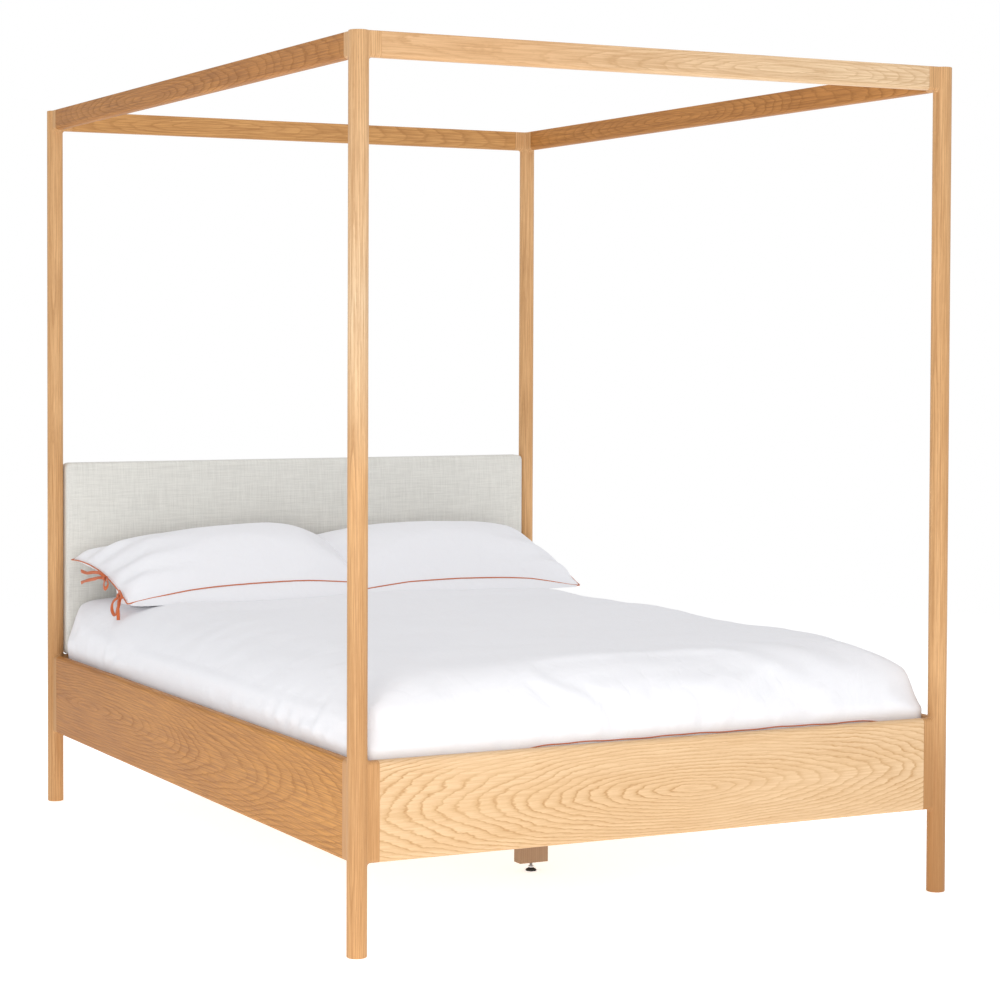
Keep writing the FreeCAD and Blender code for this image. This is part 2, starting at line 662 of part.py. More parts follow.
# ------------------------------------------------------------------ bedding
def mattress():
    low = vec(-MATTRESS_WIDTH / 2, MATTRESS_FOOT, DECK_HEIGHT)
    high = vec(MATTRESS_WIDTH / 2, MATTRESS_HEAD, MATTRESS_TOP)
    body = round_edges(block(low, high), MATTRESS_CORNER, lambda edge: is_along(edge, UP))
    return round_edges(
        body, MATTRESS_RIM_ROUND, lambda edge: at_height(edge, DECK_HEIGHT) or at_height(edge, MATTRESS_TOP)
    )


def quarter_roll(low, high):
    """Curve that leaves the low point upright and comes level at the high point."""
    rise = vec(0, 0, high.z - low.z) * DUVET_ROLL_FULLNESS
    run = vec(high.x - low.x, high.y - low.y) * DUVET_ROLL_FULLNESS
    curve = Part.BezierCurve()
    curve.setPoles([low, low + rise, high - run, high])
    return curve.toShape()


def duvet_crossways(half):
    """Duvet's section across the bed: upright hems, and a full soft fall at each side."""
    turn = half - DUVET_SIDE_ROLL
    return Part.Wire([
        line(vec(-half, 0, DUVET_HEM), vec(-half, 0, DUVET_SHOULDER)),
        quarter_roll(vec(-half, 0, DUVET_SHOULDER), vec(-turn, 0, DUVET_TOP)),
        line(vec(-turn, 0, DUVET_TOP), vec(turn, 0, DUVET_TOP)),
        quarter_roll(vec(half, 0, DUVET_SHOULDER), vec(turn, 0, DUVET_TOP)),
        line(vec(half, 0, DUVET_SHOULDER), vec(half, 0, DUVET_HEM)),
        line(vec(half, 0, DUVET_HEM), vec(-half, 0, DUVET_HEM)),
    ])


def duvet_lengthways(foot, head):
    """Duvet's section along the bed: rounded over the foot, pressed down under the pillows."""
    turn = foot + DUVET_FOOT_ROLL
    return Part.Wire([
        line(vec(0, foot, DUVET_HEM), vec(0, foot, DUVET_SHOULDER)),
        quarter_roll(vec(0, foot, DUVET_SHOULDER), vec(0, turn, DUVET_TOP)),
        line(vec(0, turn, DUVET_TOP), vec(0, PRESSED_START, DUVET_TOP)),
        line(vec(0, PRESSED_START, DUVET_TOP), vec(0, PRESSED_END, PRESSED_TOP)),
        line(vec(0, PRESSED_END, PRESSED_TOP), vec(0, head, PRESSED_TOP)),
        line(vec(0, head, PRESSED_TOP), vec(0, head, DUVET_HEM)),
        line(vec(0, head, DUVET_HEM), vec(0, foot, DUVET_HEM)),
    ])


def duvet():
    """Cap over the mattress, with a hem that hangs between the mattress and the rails."""
    half = INNER_X - DUVET_SIDE_GAP
    foot = -INNER_Y + DUVET_FOOT_GAP
    head = HEADBOARD_FRONT - DUVET_HEAD_GAP
    along_bed = Part.Face(duvet_crossways(half))
    along_bed.translate(vec(0, foot))
    along_bed = along_bed.extrude(vec(0, head - foot))
    across_bed = Part.Face(duvet_lengthways(foot, head))
    across_bed.translate(vec(-half, 0))
    across_bed = across_bed.extrude(vec(2 * half, 0))
    plan = block(vec(-half, foot, DUVET_HEM), vec(half, head, DUVET_TOP))
    plan = round_edges(plan, MATTRESS_CORNER, lambda edge: is_along(edge, UP))
    reach = MATTRESS_WIDTH / 2 + DUVET_LINING
    room_top = MATTRESS_TOP + DUVET_REST
    mattress_room = block(
        vec(-reach, MATTRESS_FOOT - DUVET_LINING, DUVET_HEM - THROUGH),
        vec(reach, MATTRESS_HEAD + DUVET_LINING, room_top),
    )
    mattress_room = round_edges(mattress_room, DUVET_INNER_CORNER, lambda edge: is_along(edge, UP))
    mattress_room = round_edges(mattress_room, DUVET_INNER_RIM, lambda edge: at_height(edge, room_top))
    return along_bed.common(across_bed).common(plan).cut(mattress_room)


def duvet_piping():
    """Straight stretch of covered cord sewn along the duvet's foot hem."""
    depth = -INNER_Y + DUVET_FOOT_GAP - PIPING_DIAMETER / 2 - PIPING_GAP
    start = vec(-DUVET_PIPING_SPAN / 2, depth, DUVET_PIPING_Z)
    return rod(start, vec(1, 0), DUVET_PIPING_SPAN, PIPING_DIAMETER)


def lens(x, front, back, crown, belly):
    """Pillow section at x: front and back seams joined by a high arc and a low arc."""
    (front_y, front_z), (back_y, back_z) = front, back
    half_seam = UP * PILLOW_SEAM_HALF
    front_seam = vec(x, front_y, front_z)
    back_seam = vec(x, back_y, back_z)
    centre = (front_seam + back_seam) / 2
    normal = vec(0, -(back_z - front_z), back_y - front_y)
    normal.normalize()
    return Part.Wire([
        arc(front_seam + half_seam, centre + normal * crown, back_seam + half_seam),
        line(back_seam + half_seam, back_seam - half_seam),
        arc(back_seam - half_seam, centre - normal * belly, front_seam - half_seam),
        line(front_seam - half_seam, front_seam + half_seam),
    ])


def pillow(left_end, right_end):
    """Plump closed form from one end to the other; each end is x with its own front and back seams."""
    sections = []
    (left_x, left_front, left_back), (right_x, right_front, right_back) = left_end, right_end
    for place, fullness in PILLOW_FULLNESS:
        share = (place + 1) / 2
        end_front, end_back = (left_front, left_back) if place < 0 else (right_front, right_back)
        pull = abs(place) ** 3
        front = tuple(mid + (end - mid) * pull for mid, end in zip(PILLOW_FRONT, end_front))
        back = tuple(mid + (end - mid) * pull for mid, end in zip(PILLOW_BACK, end_back))
        x = left_x + (right_x - left_x) * share
        sections.append(lens(x, front, back, PILLOW_CROWN * fullness, PILLOW_BELLY * fullness))
    return Part.makeLoft(sections, True, False)


def pillow_piping(left_end, right_end):
    """Covered cord along the middle stretch of the pillow's front seam."""
    centre = (left_end[0] + right_end[0]) / 2
    length = (right_end[0] - left_end[0]) * PILLOW_PIPING_SHARE
    depth = PILLOW_FRONT[0] - PIPING_DIAMETER / 2 - PILLOW_PIPING_GAP
    return rod(vec(centre - length / 2, depth, PILLOW_FRONT[1]), vec(1, 0), length, PIPING_DIAMETER)


# ------------------------------------------------------------------ build
def main():
    os.makedirs("parts", exist_ok=True)
    joint_cuts = rail_joint_cuts()
    ledger_holes = ledger_screws(HOLE_CLEARANCE)
    hanger_holes = hanger_screws(-1, HOLE_CLEARANCE) + hanger_screws(1, HOLE_CLEARANCE)

    for name, (sign_x, sign_y) in CORNERS.items():
        export("post_" + name, post(sign_x, sign_y, joint_cuts))
    for name, bar in make_rails(joint_cuts + ledger_holes + hanger_holes).items():
        export(name, bar)

    core, padding = headboard()
    export("headboard_core", core)
    export("headboard_padding", padding)

    for name, sign in SIDES.items():
        export("side_ledger_" + name, ledger(sign, ledger_holes + slat_screws(HOLE_CLEARANCE)))
    for number, slat in enumerate(slats(), start=1):
        export("slat_{:02d}".format(number), slat)
    export("centre_beam", centre_beam())
    for name, sign in ENDS.items():
        offset = sign * LEG_OFFSET
        export("beam_hanger_" + name, beam_hanger(sign))
        export("centre_leg_" + name, centre_leg(offset))
        export("leg_insert_" + name, threaded_insert(offset))
        export("glide_stud_" + name, glide_stud(offset))
        export("glide_pad_" + name, glide_pad(offset))

    joints = corner_joints()
    bolts = [(c, along, inside, z) for c, along, inside in joints for z in BOLT_HEIGHTS]
    rail_dowel = (DOWEL_HEIGHT, DOWEL_DIAMETER)
    canopy_dowel = (CANOPY_DOWEL_HEIGHT, CANOPY_DOWEL_DIAMETER)
    export("rail_hanger_bolts", [rail_bolt(c, along, z) for c, along, inside, z in bolts])
    export("rail_half_moon_washers", [half_moon_washer(c, along, inside, z) for c, along, inside, z in bolts])
    export("rail_nuts", [rail_nut(c, along, z) for c, along, inside, z in bolts])
    export("rail_dowels", [joint_dowel(c, along, *rail_dowel) for c, along, inside in joints])
    export("canopy_cam_pins", [cam_pin(c, along) for c, along, inside in joints])
    export("canopy_cams", [cam_with_slot(c, along) for c, along, inside in joints])
    export("canopy_dowels", [joint_dowel(c, along, *canopy_dowel) for c, along, inside in joints])
    export("slat_screws", slat_screws())
    export("ledger_screws", ledger_screws())
    export("hanger_screws", hanger_screws(-1) + hanger_screws(1))
    export("leg_bolts", [leg_bolt_with_head(sign * LEG_OFFSET) for sign in ENDS.values()])
    export("leg_nuts", [leg_nut(sign * LEG_OFFSET) for sign in ENDS.values()])

    export("mattress", mattress())
    export("duvet", duvet())
    export("duvet_piping", duvet_piping())
    export("pillow_left", pillow(*LEFT_PILLOW))
    export("pillow_right", pillow(*RIGHT_PILLOW))
    export("pillow_left_piping", pillow_piping(*LEFT_PILLOW))
    export("pillow_right_piping", pillow_piping(*RIGHT_PILLOW))


main()
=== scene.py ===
import math

import bpy
import numpy as np
from mathutils import Matrix, Vector, noise
from mathutils.bvhtree import BVHTree


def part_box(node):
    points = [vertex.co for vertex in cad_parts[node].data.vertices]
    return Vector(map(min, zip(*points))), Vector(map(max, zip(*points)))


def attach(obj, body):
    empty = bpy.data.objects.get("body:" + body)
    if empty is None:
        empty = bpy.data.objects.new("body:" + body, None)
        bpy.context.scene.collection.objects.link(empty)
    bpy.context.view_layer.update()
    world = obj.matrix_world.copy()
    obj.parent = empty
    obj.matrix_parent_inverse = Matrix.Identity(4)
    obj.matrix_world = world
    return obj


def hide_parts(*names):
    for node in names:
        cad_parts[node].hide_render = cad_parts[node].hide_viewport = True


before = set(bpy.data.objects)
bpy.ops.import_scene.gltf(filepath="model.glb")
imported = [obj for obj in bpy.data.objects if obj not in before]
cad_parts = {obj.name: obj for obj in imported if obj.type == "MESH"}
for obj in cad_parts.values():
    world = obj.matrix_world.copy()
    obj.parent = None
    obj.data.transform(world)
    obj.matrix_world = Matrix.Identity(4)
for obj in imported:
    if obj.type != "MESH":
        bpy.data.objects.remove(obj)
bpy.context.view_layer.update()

# Looks of the four poster bed. Metres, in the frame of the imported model: origin on the floor under
# the bed's centre, +Y to the headboard, +Z up.


# ---- camera, lights and floor
CAMERA_PLACE = Vector((-3.044, -5.981, 1.319))
CAMERA_HEADING = math.radians(-26.263)     # turn about +Z from looking along +Y
CAMERA_TILT = math.radians(-1.643)
CAMERA_ROLL = math.radians(0.169)
CAMERA_LENS = 90.78
CAMERA_SHIFT = (0.0733, -0.0796)
FLOOR_RADIUS = 7.0


def new_object(name, data):
    made = bpy.data.objects.new(name, data)
    bpy.context.scene.collection.objects.link(made)
    return made


def make_camera():
    level = Matrix.Rotation(CAMERA_HEADING, 4, "Z") @ Matrix.Rotation(math.pi / 2 + CAMERA_TILT, 4, "X")
    data = bpy.data.cameras.new("camera")
    data.lens = CAMERA_LENS
    data.shift_x, data.shift_y = CAMERA_SHIFT
    data.clip_end = 100
    camera = new_object("camera", data)
    camera.matrix_world = Matrix.Translation(CAMERA_PLACE) @ level @ Matrix.Rotation(CAMERA_ROLL, 4, "Z")
    bpy.context.scene.camera = camera


def make_light(name, place, aim, size, watts, colour):
    data = bpy.data.lights.new(name, "AREA")
    data.shape = "RECTANGLE"
    data.size, data.size_y = size
    data.energy = watts
    data.color = colour
    light = new_object(name, data)
    light.location = place
    light.rotation_euler = (Vector(aim) - Vector(place)).to_track_quat("-Z", "Y").to_euler()


# ---- node helpers
def feed(made, **inputs):
    """Set inputs, named or numbered as in0, in1. A socket given as a value is linked. Returns the node."""
    for name, value in inputs.items():
        numbered = name.startswith("in") and name[2:].isdigit()
        socket = made.inputs[int(name[2:])] if numbered else made.inputs[name.replace("_", " ")]
        if isinstance(value, bpy.types.NodeSocket):
            made.id_data.links.new(value, socket)
        else:
            socket.default_value = value
    return made


def node(kind, props=None, tree=None, **inputs):
    """Add a node with these properties and inputs, to the tree that its linked inputs are in."""
    sockets = [value for value in inputs.values() if isinstance(value, bpy.types.NodeSocket)]
    made = (tree or sockets[0].id_data).nodes.new(kind)
    for name, value in (props or {}).items():
        setattr(made, name, value)
    return feed(made, **inputs)


def maths(operation, first, second=0.0, third=0.0):
    return node("ShaderNodeMath", {"operation": operation}, in0=first, in1=second, in2=third).outputs[0]


def times(first, second):
    return maths("MULTIPLY", first, second)


def times_plus(first, second, third):
    return maths("MULTIPLY_ADD", first, second, third)


def vector_maths(operation, first, second):
    return node("ShaderNodeVectorMath", {"operation": operation}, in0=first, in1=second).outputs[0]


def noise_of(vector, detail=2.0, roughness=0.5):
    """Soft noise from 0 to 1."""
    made = node("ShaderNodeTexNoise", Vector=vector, Scale=1.0, Detail=detail, Roughness=roughness)
    return made.outputs["Fac"]


def cloud(vector, rates, detail=2.0, roughness=0.5):
    """Soft noise from 0 to 1, with its own rate along each axis."""
    return noise_of(vector_maths("MULTIPLY", vector, rates), detail, roughness)


def ramp(value, stops, interpolation="LINEAR"):
    """From a value to a grey; each stop is a place and how light the grey is there."""
    made = node("ShaderNodeValToRGB", Fac=value)
    made.color_ramp.interpolation = interpolation
    elements = made.color_ramp.elements
    while len(elements) < len(stops):
        elements.new(0.5)
    for element, (place, grey) in zip(elements, stops):
        element.position = place
        element.color = (grey, grey, grey, 1)
    return made.outputs["Color"]


def mixed(factor, first, second):
    """Mix a colour, three numbers or a socket, with another given as three numbers."""
    first = first if isinstance(first, bpy.types.NodeSocket) else (*first, 1)
    return node("ShaderNodeMix", {"data_type": "RGBA"}, in0=factor, in6=first, in7=(*second, 1)).outputs[2]


def bumped(height, strength, distance, **below):
    """Surface normal from a height, over the one given as Normal, if any."""
    return node("ShaderNodeBump", Height=height, Strength=strength, Distance=distance, **below).outputs[0]


def new_material(name):
    """An empty material: itself, its shader, and the object's own coordinates."""
    material = bpy.data.materials.new(name)
    material.use_nodes = True
    tree = material.node_tree
    tree.nodes.clear()
    shader = node("ShaderNodeBsdfPrincipled", tree=tree)
    node("ShaderNodeOutputMaterial", Surface=shader.outputs[0])
    place = node("ShaderNodeTexCoord", tree=tree).outputs["Object"]
    return material, shader, place


# ---- wood
# How dark a growth ring's line is, from one ring's edge to the next.
RING_PROFILE = [(0.0, 0.85), (0.06, 1.0), (0.15, 0.50), (0.42, 0.16), (0.90, 0.04), (1.0, 0.85)]
DOME_TIP = 0.03                  # rounds the tips of the arches where the rings turn back
TONE_REACH = 1.1                 # tones are placed within this distance of a board's middle


def board_axes(place, centre, order):
    """Position in a board's own axes: along the grain, across the face, through the thickness."""
    parts = node("ShaderNodeSeparateXYZ", Vector=vector_maths("SUBTRACT", place, centre)).outputs
    return [parts["XYZ".index(letter)] for letter in order.upper()]


def tone_share(along, stops):
    """How much of a tone shows along the grain; each stop is metres from the board's middle and a share."""
    spot = times_plus(along, 0.5 / TONE_REACH, 0.5)
    return ramp(spot, [(0.5 + 0.5 * place / TONE_REACH, share) for place, share in stops])


def wood_material(name, centre, order, seed, look):
    """Timber with growth rings about a pith beside the board, fine fibre streaks and open pores."""
    material, shader, place = new_material(name)
    along, across, through = board_axes(place, centre, order)
    shift = [17.3 * seed % 29.0, 7.9 * seed % 23.0, 3.7 * seed % 19.0]
    spread = node("ShaderNodeCombineXYZ", X=along, Y=across, Z=through).outputs[0]

    def grain(rate_along, rate_across, detail=2.0, roughness=0.5):
        stretched = vector_maths("MULTIPLY", spread, (rate_along, rate_across, rate_across))
        return noise_of(vector_maths("ADD", stretched, shift), detail, roughness)

    aside = times_plus(grain(look["sway_rate"], 1.5), look["sway"], across)
    aside = maths("ADD", aside, look["pith_aside"] - look["sway"] / 2)
    deep = times_plus(grain(look["depth_rate"], 3.0, 1.0), look["depth_sway"], through)
    deep = maths("ADD", deep, look["pith_deep"] - look["depth_sway"] / 2)
    from_dome = maths("SUBTRACT", along, look["dome_at"])
    from_dome = maths("SQRT", times_plus(from_dome, from_dome, DOME_TIP ** 2))
    deep = times_plus(from_dome, look["dome"], deep)
    radius = maths("SQRT", times_plus(aside, aside, times(deep, deep)))
    radius = times_plus(grain(6.0, 22.0, 4.0, 0.72), look["wobble"], radius)
    radius = times_plus(grain(0.6, 9.0, 1.0), look["uneven"], radius)
    ring = maths("FRACT", maths("DIVIDE", radius, look["pitch"]))
    line = times(ramp(ring, RING_PROFILE), ramp(grain(3.0, 12.0), [(0.30, 0.35), (0.60, 1.0)]))
    fibres = grain(7.0, 300.0, 4.0, 0.65)
    line = times(line, times_plus(fibres, 1.5, 0.25))
    pores = ramp(grain(70.0, 1900.0, 1.0), [(0.60, 0.0), (0.70, 1.0)])
    pores = times(pores, times_plus(line, 0.8, 0.2))
    streaks = ramp(fibres, [(0.38, 1.0), (0.60, 0.0)])

    colour = mixed(grain(1.4, 14.0), look["light"], look["warm"])
    for tone, stops in look["tones"]:
        colour = mixed(tone_share(along, stops), colour, tone)
    colour = mixed(times(streaks, look["streaks"]), colour, look["dark"])
    colour = mixed(times(line, look["contrast"]), colour, look["dark"])
    colour = mixed(times(pores, look["pores"]), colour, look["pore"])
    rough = times_plus(line, 0.10, times_plus(fibres, 0.18, look["roughness"]))
    shallow = bumped(maths("ADD", times(line, -0.6), fibres), 0.35, 0.0004)
    normal = bumped(times(pores, -1.0), 0.5, 0.0003, Normal=shallow)
    feed(shader, Base_Color=colour, Roughness=rough, Normal=normal, Specular_IOR_Level=0.22)
    return material


PALE_TONE = (0.90, 0.70, 0.46)
# Honey tone: painted light, lightening the front end of the left side rail.
PAINTED_LIGHT_HONEY = (0.80, 0.40, 0.09)
DEEP_TONE = (0.36, 0.165, 0.055)

# Timber looks. pith_aside and pith_deep place the rings' centre beside the board, and sway and
# depth_sway wander it. dome tips the rings away from dome_at, which makes nested arches.
# tones are stretches of another colour along the board.
OAK = {
    "light": (0.80, 0.545, 0.325), "warm": (0.72, 0.455, 0.24), "dark": (0.46, 0.235, 0.085),
    "pore": (0.28, 0.13, 0.05), "pitch": 0.0058, "pith_aside": 0.0, "pith_deep": 0.085,
    "sway": 0.10, "sway_rate": 1.1, "depth_sway": 0.075, "depth_rate": 1.6, "wobble": 0.010,
    "uneven": 0.02, "contrast": 0.70, "streaks": 0.34, "pores": 0.45, "roughness": 0.36,
    "dome": 0.0, "dome_at": 0.0, "tones": (),
}
# Foot rail: paler, less saturated oak. Partly the board's own tint, mostly painted light where the lamps fall
# full on the foot.
OAK_FRONT_LIT = {
    **OAK, "light": (0.81, 0.590, 0.370), "warm": (0.73, 0.490, 0.265), "dark": (0.50, 0.275, 0.110),
    "pith_deep": 0.012, "depth_sway": 0.030, "sway": 0.060, "dome": 0.17, "dome_at": 0.06,
    "wobble": 0.015, "uneven": 0.035, "contrast": 0.82, "pitch": 0.0070,
}
# Side rails: darker, more saturated oak. Partly the board's own tint, mostly painted shade on the side turned
# from the lamps.
SHADED_OAK_SIDE = {
    **OAK, "light": (0.57, 0.265, 0.070), "warm": (0.46, 0.185, 0.042), "dark": (0.24, 0.085, 0.017),
    "pith_deep": 0.014, "depth_sway": 0.030, "sway": 0.050, "dome": 0.10, "dome_at": 0.72,
    "wobble": 0.012, "contrast": 0.50, "pitch": 0.0076, "streaks": 0.60,
}
# Left side rail: the shaded side look, with a honey tone of painted light towards the front end, where more
# lamp light falls.
OAK_LEFT_RAIL_SHADED_LIT_FRONT = {**SHADED_OAK_SIDE, "tones": ((PAINTED_LIGHT_HONEY, ((-0.90, 0.42), (0.0, 0.22), (0.70, 0.0))),)}
OAK_MIDDLE = {
    **SHADED_OAK_SIDE, "light": (0.70, 0.385, 0.150), "warm": (0.58, 0.285, 0.090), "dark": (0.32, 0.135, 0.040),
    "dome_at": -0.35,
}
# Canopy side rails: built on the shaded side look, so their dark lines keep its painted shade.
OAK_UPPER = {
    **SHADED_OAK_SIDE, "light": (0.63, 0.295, 0.085), "warm": (0.51, 0.210, 0.052), "pitch": 0.0055, "dome_at": 0.2,
}
OAK_POST = {
    **OAK, "light": (0.82, 0.51, 0.255), "warm": (0.66, 0.355, 0.145), "dark": (0.36, 0.165, 0.055),
    "pitch": 0.0046, "pith_aside": 0.05, "pith_deep": 0.04, "sway": 0.02, "sway_rate": 0.5,
    "depth_sway": 0.015, "depth_rate": 0.5, "wobble": 0.004, "contrast": 0.50, "streaks": 0.50,
}
# Front left post: the pale stretch from its middle up is painted light on the side the lamps reach; the deep
# tone only makes it darker towards the foot.
OAK_POST_FRONT_LEFT = {
    **OAK_POST, "tones": (
        (PALE_TONE, ((0.03, 0.0), (0.25, 0.48), (0.42, 0.72), (0.60, 0.40), (0.94, 0.15))),
        (DEEP_TONE, ((-1.0, 0.12), (-0.80, 0.33), (-0.60, 0.38), (-0.30, 0.36), (0.02, 0.0))),
    ),
}
OAK_POST_FRONT_RIGHT = {
    **OAK_POST, "tones": ((DEEP_TONE, ((-1.0, 0.85), (-0.80, 0.74), (-0.66, 0.55), (-0.47, 0.0))),),
}
OAK_POST_REAR_LEFT = {
    **OAK_POST, "tones": ((DEEP_TONE, ((-0.95, 0.15), (-0.65, 0.48), (-0.50, 0.35), (-0.38, 0.0))),),
}
OAK_CANOPY = {
    **OAK, "light": (0.79, 0.505, 0.280), "warm": (0.69, 0.405, 0.195), "pitch": 0.0045, "pith_deep": 0.03,
    "dome": 0.06, "dome_at": 0.3, "sway": 0.04, "contrast": 0.45, "streaks": 0.45,
    "tones": ((PALE_TONE, ((-0.42, 0.0), (-0.27, 0.16), (-0.05, 0.44), (0.45, 0.72))),),
}
PINE = {
    **OAK, "light": (0.78, 0.62, 0.42), "warm": (0.70, 0.52, 0.32), "dark": (0.56, 0.37, 0.19),
    "pitch": 0.0045, "contrast": 0.5, "pores": 0.0, "streaks": 0.15, "roughness": 0.5,
    "pith_deep": 0.06, "depth_sway": 0.03, "sway": 0.03, "wobble": 0.003,
}
# Centre legs: partly the legs' own grey-brown softwood, partly painted shade from the bed above them.
LEG_WOOD_SHADED = {
    **PINE, "light": (0.44, 0.30, 0.20), "warm": (0.39, 0.25, 0.155), "dark": (0.27, 0.16, 0.09),
    "pitch": 0.004, "pith_aside": 0.07, "streaks": 0.3,
}


def plywood_material(name, thickness_axis):
    """Birch plywood: quiet face grain, with the plies showing as bands on the edges."""
    material, shader, place = new_material(name)
    face = cloud(place, (3.0, 60.0, 22.0), 3.0)
    fine = cloud(place, (14.0, 500.0, 420.0), 3.0)
    axis = node("ShaderNodeSeparateXYZ", Vector=place).outputs[thickness_axis]
    plies = ramp(maths("FRACT", maths("DIVIDE", axis, 0.0028)), [(0.45, 0.0), (0.55, 1.0)])
    colour = mixed(ramp(face, [(0.35, 0.0), (0.65, 1.0)]), (0.66, 0.50, 0.33), (0.56, 0.40, 0.24))
    colour = mixed(times(plies, 0.12), colour, (0.35, 0.22, 0.12))
    colour = mixed(times(fine, 0.2), colour, (0.44, 0.30, 0.17))
    rough = times_plus(fine, 0.2, 0.5)
    feed(shader, Base_Color=colour, Roughness=rough, Normal=bumped(fine, 0.25, 0.0003))
    return material


# ---- cloth
def crossed_threads(place, fast, slow, detail=1.0):
    """Threads running up plus threads running across."""
    return maths("ADD", cloud(place, (fast, slow, slow), detail), cloud(place, (slow, fast, fast), detail))


def woven_material(name, light, shade, thread, slub, coarse, bump):
    """Plain weave: warp runs up, weft runs across, both with uneven threads; coarse adds long slubs."""
    material, shader, place = new_material(name)
    fine = 1.0 / thread
    slow = fine * 0.03
    threads = crossed_threads(place, fine, slow)
    slubs = crossed_threads(place, fine * 0.28, slow * 0.4, 2.0)
    short_tone = ramp(times(threads, 0.5), [(0.38, 0.0), (0.62, 1.0)])
    long_tone = ramp(times(slubs, 0.5), [(0.40, 0.0), (0.64, 1.0)])
    tone = times_plus(long_tone, coarse, times(short_tone, slub))
    tone = times_plus(cloud(place, (5.0, 5.0, 5.0)), 0.15 * (slub + coarse), tone)
    normal = bumped(times_plus(slubs, coarse, threads), bump, thread * 0.6)
    feed(shader, Base_Color=mixed(tone, light, shade), Normal=normal, Roughness=0.85,
         Sheen_Weight=0.2, Sheen_Roughness=0.5, Specular_IOR_Level=0.2)
    return material


def cotton_material(name, light, shade, crease):
    """Smooth percale: a very fine weave and the faint creases of pressed bedding."""
    material, shader, place = new_material(name)
    weave = crossed_threads(place, 2600.0, 160.0)
    bent = node("ShaderNodeTexNoise", Vector=place, Scale=3.0, Detail=2.0, Distortion=0.6)
    warped = node("ShaderNodeVectorMath", {"operation": "MULTIPLY_ADD"}, in0=bent.outputs["Color"],
                  in1=(0.25, 0.25, 0.25), in2=place).outputs[0]
    soft = cloud(warped, (9.0, 5.0, 7.0), 3.0, 0.55)
    fold = maths("ABSOLUTE", maths("SUBTRACT", soft, 0.5))
    fold = ramp(fold, [(0.0, 0.0), (0.10, 0.75), (0.30, 1.0)], "EASE")
    tone = ramp(times(weave, 0.5), [(0.4, 0.0), (0.6, 1.0)])
    normal = bumped(weave, 0.12, 0.0002, Normal=bumped(fold, crease, 0.004))
    feed(shader, Base_Color=mixed(times(tone, 0.35), light, shade), Normal=normal, Roughness=0.8,
         Sheen_Weight=0.15, Specular_IOR_Level=0.25)
    return material


def cord_material(name, light, dark, pitch):
    """Bias cut cotton wrapped round a cord, or a woven tape: fine slanting threads."""
    material, shader, place = new_material(name)
    threads = cloud(place, (1.0 / pitch, 1.0 / pitch, 1.6 / pitch))
    broad = cloud(place, (30.0, 30.0, 30.0))
    tone = times_plus(threads, 0.6, times(broad, 0.4))
    feed(shader, Base_Color=mixed(tone, light, dark), Roughness=0.75, Sheen_Weight=0.2,
         Normal=bumped(threads, 0.4, pitch * 0.5))
    return material


# ---- metal, plastic and floor
def metal_material(name, light, dark, roughness, rate):
    material, shader, place = new_material(name)
    smudge = cloud(place, (rate, rate, rate), 4.0, 0.6)
    scratches = cloud(place, (rate * 20, rate * 20, rate * 1.5))
    feed(shader, Base_Color=mixed(smudge, light, dark), Metallic=1.0,
         Roughness=times_plus(smudge, 0.25, roughness),
         Normal=bumped(scratches, 0.15, 0.0001))
    return material


def plastic_material(name, colour, worn):
    material, shader, place = new_material(name)
    grain = cloud(place, (1500.0, 1500.0, 1500.0))
    smudge = cloud(place, (90.0, 90.0, 90.0), 3.0)
    feed(shader, Base_Color=mixed(smudge, colour, worn), Normal=bumped(grain, 0.2, 0.0001),
         Roughness=times_plus(smudge, 0.2, 0.38))
    return material


def floor_material():
    """White studio floor that fades out to nothing before its own edge."""
    material, shader, place = new_material("studio_floor")
    away = node("ShaderNodeVectorMath", {"operation": "LENGTH"}, in0=place).outputs["Value"]
    fade = ramp(maths("DIVIDE", away, FLOOR_RADIUS), [(0.32, 1.0), (0.95, 0.0)], "EASE")
    speck = cloud(place, (40.0, 40.0, 40.0), 3.0)
    feed(shader, Base_Color=mixed(speck, (0.93, 0.93, 0.93), (0.90, 0.90, 0.90)), Roughness=0.9,
         Specular_IOR_Level=0.1, Emission_Color=(1, 1, 1, 1), Emission_Strength=0.60, Alpha=fade)
    return material


def make_studio():
    world = bpy.data.worlds.new("studio")
    world.use_nodes = True
    tree = world.node_tree
    tree.nodes.clear()
    seen = node("ShaderNodeBackground", tree=tree, Color=(1, 1, 1, 1), Strength=1.0).outputs[0]
    cast = node("ShaderNodeBackground", tree=tree, Color=(0.97, 0.98, 1, 1), Strength=0.73).outputs[0]
    to_camera = node("ShaderNodeLightPath", tree=tree).outputs["Is Camera Ray"]
    both = node("ShaderNodeMixShader", in0=to_camera, in1=cast, in2=seen)
    node("ShaderNodeOutputWorld", Surface=both.outputs[0])
    bpy.context.scene.world = world
    bpy.context.scene.view_settings.view_transform = "Standard"
    make_light("key", (2.2, -6.5, 2.6), (0, 0, 0.8), (3.5, 3.5), 22, (1, 0.985, 0.96))
    make_light("left", (-2.6, -3.9, 0.9), (-0.8, -1.0, 0.3), (1.4, 1.4), 50, (1, 0.99, 0.97))
    make_light("top", (0.3, -0.5, 5.5), (0, 0, 0.5), (4.0, 4.0), 48, (1, 1, 1))
    bpy.ops.mesh.primitive_circle_add(vertices=96, radius=FLOOR_RADIUS, fill_type="NGON")
    floor = bpy.context.object
    floor.name = "studio_floor"
    floor.data.materials.append(floor_material())


# ---- mesh helpers
def box_of(name):
    """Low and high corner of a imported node, as arrays."""
    low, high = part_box(name)
    return np.array(low), np.array(high)


